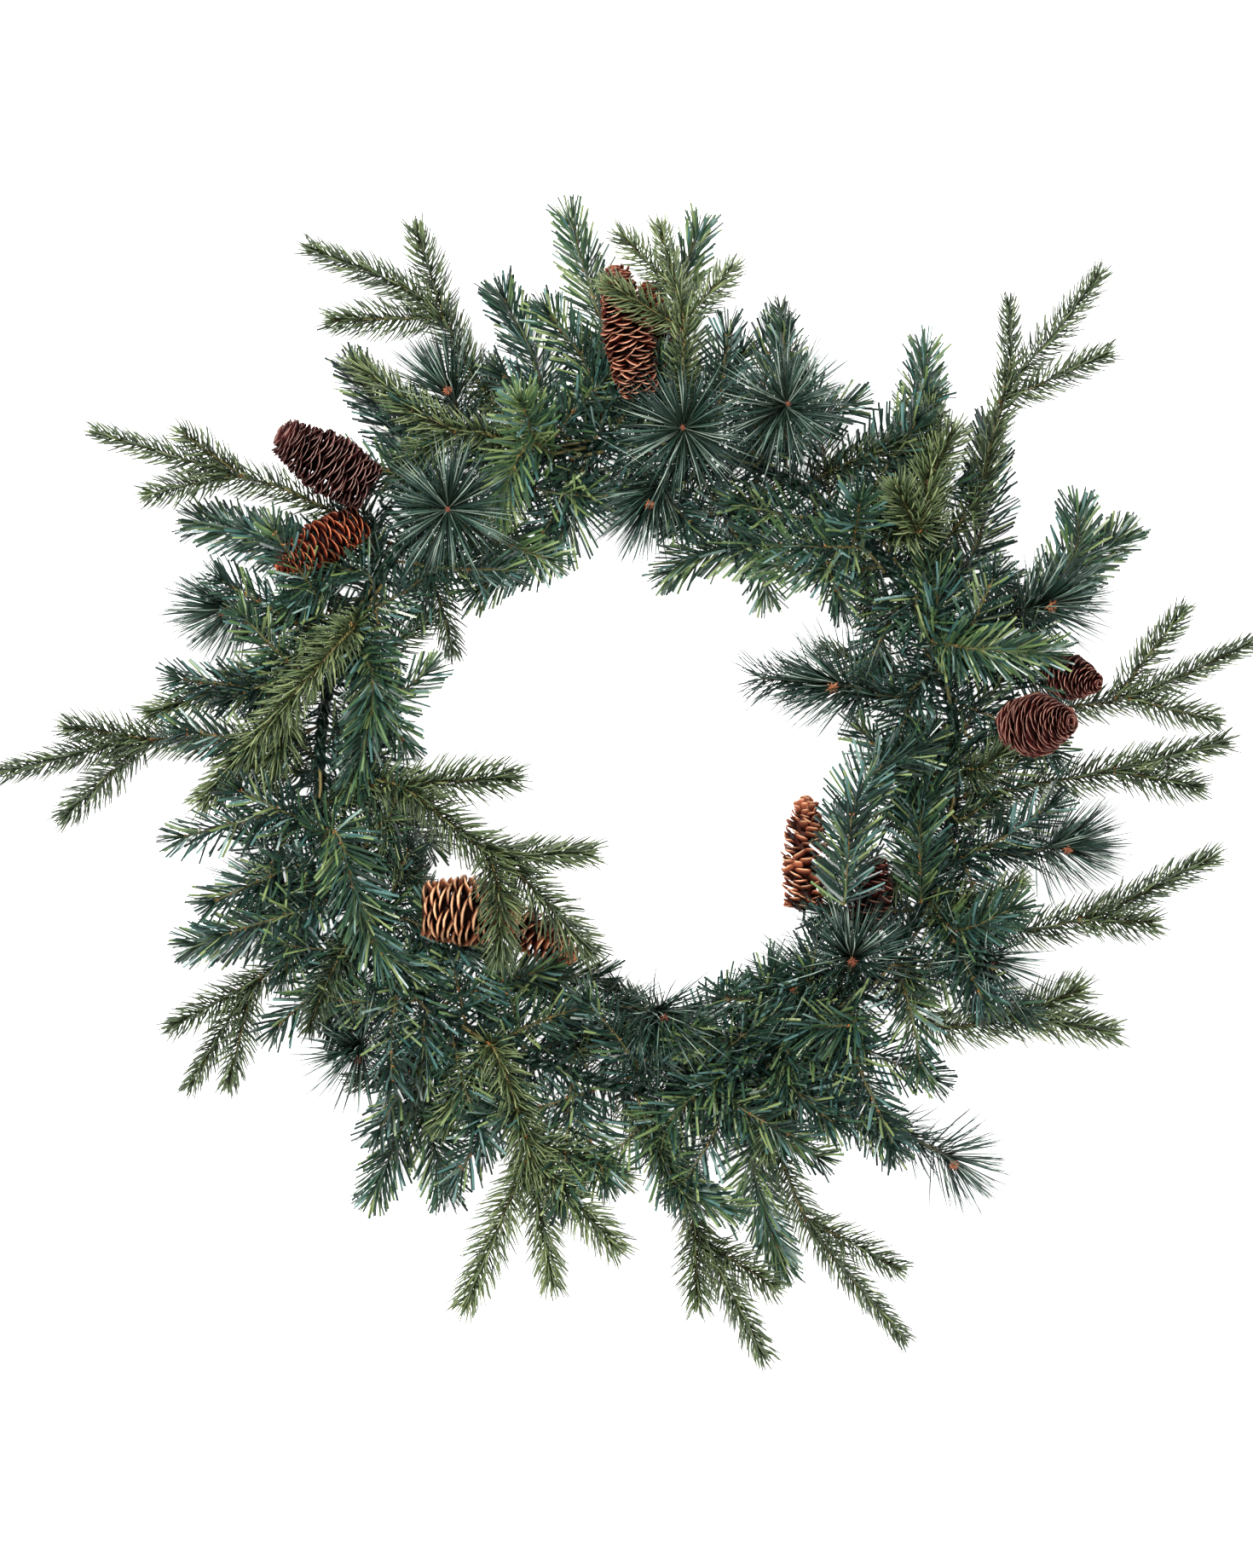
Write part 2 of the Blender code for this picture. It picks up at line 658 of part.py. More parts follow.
def grow_shoot(bm, end, route, kind, travelled, facets, gaps, side_shoot=False):
    """Grows one stem along its route: plain gaps and short bands whose faces become needles."""
    whorl = kind is LONG
    bare = SIDE_BARE if side_shoot else kind.bare
    last = route.length - (FOOT_LENGTH + FOOT_EASE if is_foot(route) else 0.0)
    distance = travelled
    twist = math.radians(kind.twist)

    def radius_at(place):
        return kind.radius + (kind.tip_radius - kind.radius) * place / route.length

    first_band = travelled + bare
    if whorl:
        first_band = max(travelled + WHORL_BARE, route.length - WHORL_LENGTH)
    while distance < first_band - 1.0:
        step = min(BARE_STEP, first_band - distance)
        distance += step
        end, sides = grow(bm, end, route.point(distance), route.along(distance), radius_at(distance))
        gaps += sides
    gap = 0.0 if whorl else kind.gap
    while distance + kind.band <= last:
        end, sides = grow(
            bm, end, route.point(distance + kind.band), route.along(distance + kind.band),
            radius_at(distance + kind.band), twist if whorl else 0.0,
        )
        distance += kind.band
        share = (distance - first_band) / max(route.length - first_band, 1.0)
        facets += [Facet(face, route.along(distance), share) for face in sides]
        if gap and distance + gap + kind.band <= last:
            distance += gap
            end, sides = grow(
                bm, end, route.point(distance), route.along(distance), radius_at(distance), twist
            )
            gaps += sides
        elif gap:
            break
    if is_foot(route):
        end = lay_foot(bm, end, route, facets)
    facets.append(Facet(end, route.along(route.length), 1.0))


def start_side_shoot(bm, gaps, route):
    """Opens the plain face that looks most towards the shoot, and starts a stem on it."""
    start, ahead = route.point(0.0), route.point(min(LOOK_AHEAD, route.length))
    best = None
    for face in gaps:
        face.normal_update()
        middle = face.calc_center_median()
        out = (ahead - middle).normalized()
        score = face.normal.dot(out) - (middle - start).length / NEARNESS
        if best is None or score > best[0]:
            best = (score, face)
    face = best[1]
    gaps.remove(face)
    halves = bmesh.ops.triangulate(bm, faces=[face])["faces"]
    for half in halves:
        half.normal_update()
    return max(halves, key=lambda f: f.normal.dot(ahead - f.calc_center_median()))


def side_route(route, start):
    """The side shoot's own route, from the face that it grows from."""
    rest = [Vector(route.line[-1])]
    count = (len(route.line) - 1) // SPAN_POINTS
    middle = [Vector(route.line[SPAN_POINTS * k]) for k in range(1, count)]
    return Route([start, *middle, *rest])


def grow_sprig(plan, kind):
    """The bare stems of one sprig in one mesh, and the faces that its needles come from."""
    bm = bmesh.new()
    facets = []
    low, high = plan.ends
    front, back = start_tube(bm, low, high, kind.radius, 3, -plan.away)
    left = {True: front, False: back}
    shoots = []
    for main, ahead, sides in plan.arms:
        gaps = []
        grow_shoot(bm, left.pop(ahead), main, kind, ROOT_LENGTH, facets, gaps)
        shoots.append((gaps, sides))
    for face in left.values():
        bmesh.ops.poke(bm, faces=[face])
    for gaps, sides in shoots:
        for side in sides:
            base = start_side_shoot(bm, gaps, side)
            route = side_route(side, base.calc_center_median())
            grow_shoot(bm, base, route, kind, 0.0, facets, [], side_shoot=True)
    bm.normal_update()
    return bm, facets


def grow_cone_stalk(plan):
    """A cone's stalk, from the core to the cone's base, and the end face that it leaves open."""
    bm = bmesh.new()
    low, high = plan.ends
    front, back = start_tube(bm, low, high, CONE_STALK_RADIUS, CONE_SIDES, -plan.away)
    route, ahead, _ = plan.arms[0]
    end, spare = (front, back) if ahead else (back, front)
    distance = ROOT_LENGTH
    while distance < route.length - CONE_STALK_END - 1.0:
        distance = min(distance + CONE_STALK_STEP, route.length - CONE_STALK_END)
        end, _ = grow(bm, end, route.point(distance), route.along(distance), CONE_STALK_RADIUS)
    bmesh.ops.poke(bm, faces=[spare])
    return bm, end


def grow_cone(plan, base, tip, radius, stand):
    """A cone on its stalk: rows of faces round an egg shape, each pulled out as a scale."""
    bm, end = grow_cone_stalk(plan)
    axis = tip - base
    along = axis.normalized()
    scales = []
    for row in range(CONE_ROWS + 1):
        share = row / CONE_ROWS
        width = cone_radius(share, radius)
        turn = math.pi / CONE_SIDES if row else 0.0
        end, sides = grow(bm, end, base + axis * share, along, width, turn)
        if row:
            scales += [(face, share) for face in sides]
    for face, share in scales:
        face.normal_update()
        out = face.normal.copy()
        middle = face.calc_center_median()
        apex = bmesh.ops.poke(bm, faces=[face])["verts"][0]
        lean = along * axis.length / CONE_ROWS * SCALE_LEAN
        apex.co = middle + out * stand * (1.0 - SCALE_SHRINK * share) + lean
    cap = bmesh.ops.poke(bm, faces=[end])["verts"][0]
    cap.co = tip + along * CONE_CAP
    bm.normal_update()
    return bm


def needle_samples(middle, tip):
    """Points along a needle, from clear of its root to just past its tip."""
    line = tip - middle
    reach = line.length
    count = max(4, int(reach / NEEDLE_STEP))
    start = min(NEEDLE_ROOT, reach * NEEDLE_ROOT_SHARE) / reach
    end = 1.0 + NEEDLE_PAST / reach
    return [middle + line * (start + (end - start) * k / count) for k in range(count + 1)]


def clear_of_others(samples, others, blunt):
    """Whether a needle keeps off the surface below and off every other piece."""
    for k, p in enumerate(samples):
        if p.z < FLOOR_MARGIN:
            return False
        share = k / len(samples)
        room = max(NEEDLE_CLEARANCE, TIP_CLEARANCE + ROOT_CLEARANCE * (1.0 - share))
        if others.find_nearest(p, room + share * blunt / 2)[0] is not None:
            return False
    return True


def clear_of_own(samples, middle, own_stems, own_needles, tip_face):
    """Whether a needle keeps off its own sprig's stems and needles."""
    outer = samples[len(samples) // 3:]
    if not tip_face:
        for p in outer:
            if own_stems.find(p)[2] < min((p - middle).length * OWN_STEM_SLOPE, OWN_STEM_ROOM):
                return False
    if not len(own_needles):
        return True
    mine = np.array([tuple(p) for p in outer])
    gaps = np.linalg.norm(own_needles[:, None, :] - mine[None, :, :], axis=2)
    return gaps.min() >= OWN_CLEARANCE


def lean_out(out, along, lean, roll):
    """A needle's direction: lean degrees off the stem, turned about it by roll degrees."""
    side = Matrix.Rotation(math.radians(roll), 3, along) @ out
    side -= along * side.dot(along)
    side = side.normalized() if side.length > LEAST_SIDE else Vector((0, 0, 0))
    ray = along * math.cos(math.radians(lean)) + side * math.sin(math.radians(lean))
    return ray.normalized()


def pull_needle(bm, face, tip):
    apex = bmesh.ops.poke(bm, faces=[face])["verts"][0]
    apex.co = tip


def pull_strip(bm, face, tip, along, width):
    """Pulls a flat strip out of a face and closes its end to a straight cut."""
    end = bmesh.ops.extrude_discrete_faces(bm, faces=[face])["faces"][0]
    corners = sorted(end.verts, key=lambda v: v.co.dot(along))
    half = along * width / 2
    bmesh.ops.pointmerge(bm, verts=corners[:2], merge_co=tip - half)
    bmesh.ops.pointmerge(bm, verts=corners[2:], merge_co=tip + half)


def wanted_needle(facet, kind, rng):
    """The length and the slant that a needle would have with nothing in its way."""
    length = kind.length + rng.uniform(-kind.spread, kind.spread)
    share = min(max(facet.share, 0.0), 1.0) ** BANDS_SLANT_POWER
    slant = kind.slant + (kind.tip_slant - kind.slant) * share
    slant += rng.uniform(-SLANT_JITTER, SLANT_JITTER)
    if len(facet.face.verts) == 3:
        return length * (TIP_STRIP if kind.blunt else TIP_NEEDLE), 0.0
    return length, slant


def find_needle(facet, kind, others, own_stems, own_needles, rng):
    """The first bend that is clear of all in its way, as its direction and samples, or None."""
    face = facet.face
    face.normal_update()
    middle, out = face.calc_center_median(), face.normal.copy()
    tip_face = len(face.verts) == 3
    length, slant = wanted_needle(facet, kind, rng)
    for bend, roll, cut in BENDS:
        lean = max(slant + bend, 0.0 if tip_face else LEAST_LEAN)
        ray = lean_out(out, facet.along, lean, roll)
        if ray.dot(out) < LEAST_OUT:
            continue
        tip = middle + ray * length * cut
        samples = needle_samples(middle, tip)
        if clear_of_others(samples, others, kind.blunt) and clear_of_own(
            samples, middle, own_stems, own_needles, tip_face
        ):
            return ray, tip, samples
    return None


def dress(bm, facets, kind, others, stem_samples, rng):
    """Pulls every needle or strip out, and returns how many faces found no clear place."""
    own_stems = tree_of(stem_samples)
    own_needles = np.zeros((0, 3))
    missed = 0
    for facet in facets:
        found = find_needle(facet, kind, others, own_stems, own_needles, rng)
        if found is None:
            missed += 1
            continue
        ray, tip, samples = found
        outer = samples[len(samples) // 4:]
        own_needles = np.vstack([own_needles, np.array([tuple(p) for p in outer])])
        if kind.blunt and len(facet.face.verts) > 3:
            across = (facet.along - ray * facet.along.dot(ray)).normalized()
            pull_strip(bm, facet.face, tip, across, kind.blunt)
        else:
            pull_needle(bm, facet.face, tip)
    bm.normal_update()
    return missed


def finish(bm, name, material, collection, offset):
    """Triangulates the mesh, moves it to the object's own frame and scales it to metres."""
    bmesh.ops.triangulate(bm, faces=bm.faces)
    bmesh.ops.translate(bm, vec=offset, verts=bm.verts)
    bmesh.ops.scale(bm, vec=(MM, MM, MM), verts=bm.verts)
    mesh = bpy.data.meshes.new(name)
    bm.to_mesh(mesh)
    bm.free()
    mesh.materials.append(material)
    obj = bpy.data.objects.new(name, mesh)
    collection.objects.link(obj)
    return obj


def core_mesh():
    """The core as one tube of flat-sided section, with a flat on every eighth of a turn."""
    bm = bmesh.new()
    flat_first = math.pi / CORE_SIDES
    corners = CORE_CORNERS
    along = (corners[1] - corners[0]).normalized()
    out = direction_at(CORE_START)
    front, _ = start_tube(bm, corners[0], corners[1], CORE_RADIUS, CORE_SIDES, out)
    first = out * math.cos(flat_first) + Vector((0, 0, 1)) * math.sin(flat_first)
    place_section(front, corners[1], along, first)
    end = front
    for k in range(2, len(corners)):
        before = (corners[k] - corners[k - 1]).normalized()
        after = (corners[k + 1] - corners[k]).normalized() if k + 1 < len(corners) else before
        along = (before + after).normalized()
        out = along.cross(Vector((0, 0, 1)))
        first = out * math.cos(flat_first) + Vector((0, 0, 1)) * math.sin(flat_first)
        end, _ = grow(bm, end, corners[k], along, CORE_RADIUS, 0.0, first)
    return bm


def place_section(front, centre, along, first):
    """Sets both ends of the first run of the core with flats facing up, down, in and out."""
    before = {corner: corner.co.copy() for corner in front.verts}
    place_ring(front, centre, along, CORE_RADIUS, 0.0, first)
    for corner, old in before.items():
        for edge in corner.link_edges:
            other = edge.other_vert(corner)
            if other not in before:
                other.co += corner.co - old


def tie_points():
    """The tie's wire: turns of a slot shape round the two core ends, drawn out along them."""
    out = direction_at(TIE_ANGLE)
    along = Vector((-out.y, out.x, 0.0))
    inner = core_point(TIE_ANGLE)
    outer = inner + out * OVERLAP_OFFSET
    reach = CORE_RADIUS + TIE_CLEARANCE + TIE_WIRE_RADIUS
    points = []
    total = TIE_TURNS * TIE_POINTS
    for k in range(total):
        turn = 2 * math.pi * k / TIE_POINTS + math.pi / TIE_POINTS
        centre = outer if math.cos(turn) > 0 else inner
        around = out * math.cos(turn) + Vector((0, 0, 1)) * math.sin(turn)
        slide = along * TIE_PITCH * (k / TIE_POINTS - TIE_TURNS / 2)
        points.append(centre + around * reach + slide)
    return points


def tie_mesh(points):
    """The tie as a curve with a round bevel, turned to a mesh."""
    curve = bpy.data.curves.new("tie_path", "CURVE")
    curve.dimensions = "3D"
    curve.bevel_depth = TIE_WIRE_RADIUS
    curve.bevel_resolution = 0
    curve.use_fill_caps = True
    spline = curve.splines.new("POLY")
    spline.points.add(len(points) - 1)
    for point, place in zip(spline.points, points):
        point.co = (*place, 1.0)
    guide = bpy.data.objects.new("tie_path", curve)
    bpy.context.scene.collection.objects.link(guide)
    graph = bpy.context.evaluated_depsgraph_get()
    mesh = bpy.data.meshes.new_from_object(guide.evaluated_get(graph))
    bm = bmesh.new()
    bm.from_mesh(mesh)
    bmesh.ops.remove_doubles(bm, verts=bm.verts, dist=0.01)
    bmesh.ops.recalc_face_normals(bm, faces=bm.faces)
    bpy.data.objects.remove(guide, do_unlink=True)
    bpy.data.meshes.remove(mesh)
    return bm


def tree_of_meshes(meshes):
    """One search tree over all the given meshes."""
    points, faces = [], []
    for bm in meshes:
        bm.verts.index_update()
        start = len(points)
        points += [v.co.copy() for v in bm.verts]
        faces += [[start + v.index for v in f.verts] for f in bm.faces]
    return BVHTree.FromPolygons(points, faces)


def plan_cones(crowd):
    plans = []
    for _, _, base, tip, radius, stand, _ in CONES:
        crowd.add_cone(Vector(base), Vector(tip), radius, stand)
    for _, angle, base, tip, _, _, past in CONES:
        base, tip = Vector(base), Vector(tip)
        along = (tip - base).normalized()
        arms = [([past, base - along * 10.0, base], [])]
        own = crowd.cones
        crowd.cones = [c for c in own if c[0] != base]
        plan = settle(crowd, angle, arms, CONE_STALK_RADIUS, fixed_lift=True)
        crowd.cones = own
        crowd.add_stem(sum(plan.samples(), []))
        plans.append(plan)
    return plans


def grow_all():
    """Every piece in one layout, bare sprigs last, and what each is made of."""
    crowd = Crowd()
    tie_route = tie_points()
    crowd.add_stem(tie_route)
    grown = {"core_wire": core_mesh(), "end_tie": tie_mesh(tie_route)}
    looks = {"core_wire": "core_foil", "end_tie": "tie_wire"}
    for (name, _, base, tip, radius, stand, _), plan in zip(CONES, plan_cones(crowd)):
        grown[name] = grow_cone(plan, Vector(base), Vector(tip), radius, stand)
        looks[name] = "cone"
    waiting = {}
    for kind, name, angle, arms in SPRIGS:
        plan = settle(crowd, angle, arms, kind.radius)
        samples = sum(plan.samples(), [])
        crowd.add_stem(samples)
        grown[name], facets = grow_sprig(plan, kind)
        waiting[name] = (kind, facets, samples)
        looks[name] = kind.title
    return grown, looks, waiting


def dress_all(grown, waiting):
    """Gives the sprigs their needles one after the other, each clear of all that stands."""
    rng = random.Random(SEED)
    for name, (kind, facets, samples) in waiting.items():
        others = tree_of_meshes([bm for key, bm in grown.items() if key != name])
        missed = dress(grown[name], facets, kind, others, samples, rng)
        if missed:
            print(f"{name}: {missed} of {len(facets)} faces stay bare")


def main():
    clear_scene()
    collection = bpy.data.collections.new(NAME)
    bpy.context.scene.collection.children.link(collection)
    materials = {name: make_material(name) for name in COLOURS}
    grown, looks, waiting = grow_all()
    dress_all(grown, waiting)
    low = Vector([min(v.co[k] for bm in grown.values() for v in bm.verts) for k in range(3)])
    high = Vector([max(v.co[k] for bm in grown.values() for v in bm.verts) for k in range(3)])
    offset = -Vector(((low.x + high.x) / 2, (low.y + high.y) / 2, low.z))
    for name, bm in grown.items():
        finish(bm, name, materials[looks[name]], collection, offset)
    size = high - low
    print(f"{len(grown)} pieces, {size.x:.0f} x {size.y:.0f} x {size.z:.0f} mm")


main()
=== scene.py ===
# %% [markdown]
# # An artificial evergreen garland, closed into a ring
#
# The real object is a 180 cm garland. Two twisted wires, wound with dark cut foil, are its core,
# and sprigs of three artificial plants are twisted on to it by their wire stalks, with pine cones
# in pairs. Here its ends overlap a little, so it lies as a wreath.
#
# The solids of the part are plain: few needles, in true length. This script keeps their places
# and gives each one its real finish: many fine needles, cut strips, buds and woody scales.
# First the solids are loaded.

# %% Load the solids
import math

import bmesh
import bpy
import numpy as np
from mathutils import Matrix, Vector


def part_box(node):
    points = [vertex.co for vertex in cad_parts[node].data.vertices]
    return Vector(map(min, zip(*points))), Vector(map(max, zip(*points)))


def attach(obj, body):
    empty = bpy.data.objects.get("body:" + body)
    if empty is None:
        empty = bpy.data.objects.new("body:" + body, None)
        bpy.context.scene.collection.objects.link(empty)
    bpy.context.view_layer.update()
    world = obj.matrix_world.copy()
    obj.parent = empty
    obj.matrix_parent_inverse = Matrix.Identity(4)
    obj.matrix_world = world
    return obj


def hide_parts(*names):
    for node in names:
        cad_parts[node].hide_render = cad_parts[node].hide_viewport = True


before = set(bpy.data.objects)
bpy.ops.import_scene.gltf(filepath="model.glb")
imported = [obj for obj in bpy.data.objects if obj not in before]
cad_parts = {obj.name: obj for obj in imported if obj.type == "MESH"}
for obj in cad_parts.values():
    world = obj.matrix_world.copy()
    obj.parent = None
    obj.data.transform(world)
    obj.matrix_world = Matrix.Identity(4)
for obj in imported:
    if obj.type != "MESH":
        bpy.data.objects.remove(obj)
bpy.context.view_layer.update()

# %% [markdown]
# ## The view
#
# The garland is seen square on, from straight above as it lies. A long lens far away gives the
# flat look of a catalogue picture. The picture is taller than it is wide, and the lens angle is
# measured on its long side.

# %% Camera
MM = 0.001
PICTURE_HEIGHT, MM_PER_POINT = 1839, 0.75
FOLIAGE_HEIGHT = 0.08
LENS, SENSOR = 110.0, 36.0

field = PICTURE_HEIGHT * MM_PER_POINT * MM
distance = field * LENS / SENSOR
camera_data = bpy.data.cameras.new("square_on")
camera_data.lens, camera_data.sensor_width = LENS, SENSOR
camera = bpy.data.objects.new("square_on", camera_data)
bpy.context.scene.collection.objects.link(camera)
bpy.context.scene.camera = camera
print(f"camera {distance:.2f} m above the foliage, {field:.2f} m high field")

# %% [markdown]
# ## The layout
#
# The sprigs stand where the solids stand, so the same few rules are used here: the core is a
# circle whose last stretch eases out beside its start, a stalk lies along the core and then
# leaves it, and each arm is a smooth line through a few points. Lengths are in millimetres.

# %% The core's line
RING_RADIUS = 281.0
RING_CENTRE = Vector((10.0, 20.0, 0.0))
CORE_HEIGHT, CORE_RADIUS, CORE_SIDES = 62.0, 7.0, 8
CORE_STEP, CORE_START = 9.0, 276.0
CORE_OVERLAP, OVERLAP_EASE, OVERLAP_OFFSET = 18.0, 18.0, 15.2
FLAT = CORE_RADIUS * math.cos(math.pi / CORE_SIDES)
UP = Vector((0.0, 0.0, 1.0))


def direction_at(angle):
    """The outward direction of the ring at an angle in degrees."""
    turn = math.radians(angle)
    return Vector((math.cos(turn), math.sin(turn), 0.0))


def core_corner(index):
    """One corner of the centreline; the last few ease outwards."""
    angle = CORE_START + index * CORE_STEP
    share = min(max((angle - CORE_START - 360.0 + OVERLAP_EASE) / OVERLAP_EASE, 0.0), 1.0)
    offset = OVERLAP_OFFSET * share * share * (3.0 - 2.0 * share)
    point = RING_CENTRE + direction_at(angle) * (RING_RADIUS + offset)
    return Vector((point.x, point.y, CORE_HEIGHT))


CORE_CORNERS = [core_corner(i) for i in range(int((360.0 + CORE_OVERLAP) / CORE_STEP) + 1)]


def core_point(angle):
    """The centreline at an angle, on the straight run between two corners."""
    steps = ((angle - CORE_START) % 360.0) / CORE_STEP
    index = int(steps)
    return CORE_CORNERS[index].lerp(CORE_CORNERS[index + 1], steps - index)


def core_low_corner():
    """The lowest x and y of the core's solid, by the same rule as the solid itself."""
    low = Vector((math.inf, math.inf))
    last = len(CORE_CORNERS) - 1
    for k, corner in enumerate(CORE_CORNERS):
        before = (corner - CORE_CORNERS[max(k - 1, 0)]).normalized()
        after = (CORE_CORNERS[min(k + 1, last)] - corner).normalized()
        along = before + after
        out = along.normalized().cross(UP)
        low.x = min(low.x, corner.x - abs(out.x) * FLAT)
        low.y = min(low.y, corner.y - abs(out.y) * FLAT)
    return low


core_low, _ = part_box("core_wire")
formula_low = core_low_corner()
SHIFT = Vector((core_low.x / MM - formula_low.x, core_low.y / MM - formula_low.y, 0.0))
camera.location = (SHIFT.x * MM, SHIFT.y * MM, distance + FOLIAGE_HEIGHT)
print("layout moved by", [round(v, 2) for v in SHIFT], "mm to the solids")

# %% [markdown]
# A stem is read by the distance along it, so that needles can be set at even steps. The line
# through the points is a Hermite curve: it passes every point and doesn't swing past it.

# %% Smooth lines and stems
ROOT_LENGTH, ROOT_GAP = 16.0, 0.4
LEAVE_LENGTH, LEAVE_LIFT = 12.0, 2.5
SPAN_POINTS = 10


def smooth_line(points):
    """Points along the Hermite curve through the given points."""
    points = [np.array(p, float) for p in points]
    spans = [b - a for a, b in zip(points, points[1:])]
    units = [s / np.linalg.norm(s) for s in spans]
    slopes = [units[0]] + [a + b for a, b in zip(units, units[1:])] + [units[-1]]
    slopes = [s / np.linalg.norm(s) for s in slopes]
    line = [points[0]]
    for i, span in enumerate(spans):
        reach = np.linalg.norm(span)
        for k in range(1, SPAN_POINTS + 1):
            t = k / SPAN_POINTS
            a, b = 2 * t**3 - 3 * t**2 + 1, t**3 - 2 * t**2 + t
            c, d = -2 * t**3 + 3 * t**2, t**3 - t**2
            line.append(a * points[i] + b * reach * slopes[i]
                        + c * points[i + 1] + d * reach * slopes[i + 1])
    return np.array(line)


class Route:
    """A smooth line that is read by the distance along it."""

    def __init__(self, points):
        self.line = smooth_line(points)
        steps = np.linalg.norm(np.diff(self.line, axis=0), axis=1)
        self.travel = np.concatenate([[0.0], np.cumsum(steps)])
        self.length = float(self.travel[-1])

    def point(self, distance):
        return Vector([np.interp(distance, self.travel, self.line[:, k]) for k in range(3)])

    def along(self, distance, reach=3.0):
        ahead = self.point(min(distance + reach, self.length))
        behind = self.point(max(distance - reach, 0.0))
        return (ahead - behind).normalized()


def seat(angle, clock, radius):
    """Where a stalk lies on the core, clock degrees round the core's section from its top."""
    turn = math.radians(clock)
    away = direction_at(angle) * math.sin(turn) + UP * math.cos(turn)
    return core_point(angle) + away * (FLAT + radius + ROOT_GAP), away


def leave_core(angle, clock, radius, targets):
    """For each target, a stalk's first three points: along the core, then off towards it."""
    half = math.degrees(ROOT_LENGTH / 2 / RING_RADIUS)
    low, away = seat(angle - half, clock, radius)
    high, _ = seat(angle + half, clock, radius)
    headings = [(Vector(t) - (low + high) / 2).dot((high - low).normalized()) for t in targets]
    first_ahead = headings[0] > (headings[1] if len(targets) == 2 else 0)
    stalks = []
    for ahead in (first_ahead, not first_ahead)[:len(targets)]:
        start, end = (low, high) if ahead else (high, low)
        leave = end + (end - start).normalized() * LEAVE_LENGTH + away * LEAVE_LIFT
        stalks.append([start, end, leave])
    return stalks


def raised(points, lift):
    """A line's points moved up, apart from those on the floor."""
    return [Vector((x, y, z + lift if z > 0 else z)) for x, y, z in points]


def stems_of(angle, clock, lift, radius, arms):
    """The routes of one sprig: its arms from the core outwards, and their side shoots."""
    mains, sides = [], []
    stalks = leave_core(angle, clock, radius, [points[0] for points, *_ in arms])
    for (points, *shoots), stalk in zip(arms, stalks):
        mains.append(Route(stalk + raised(points, lift)))
        sides += [Route(raised(shoot, lift)) for shoot in shoots]
    return mains, sides


# %% [markdown]
# Each sprig is one row: its name, its place round the core in degrees, the side of the core that
# it is wound on, how far it is raised, and its one or two arms. An arm is a list of lines: its
# own points first, then those of each side shoot. Each cone is one row too: its name, place and
# side, its base, its tip, its radius, and a point that its stalk passes.

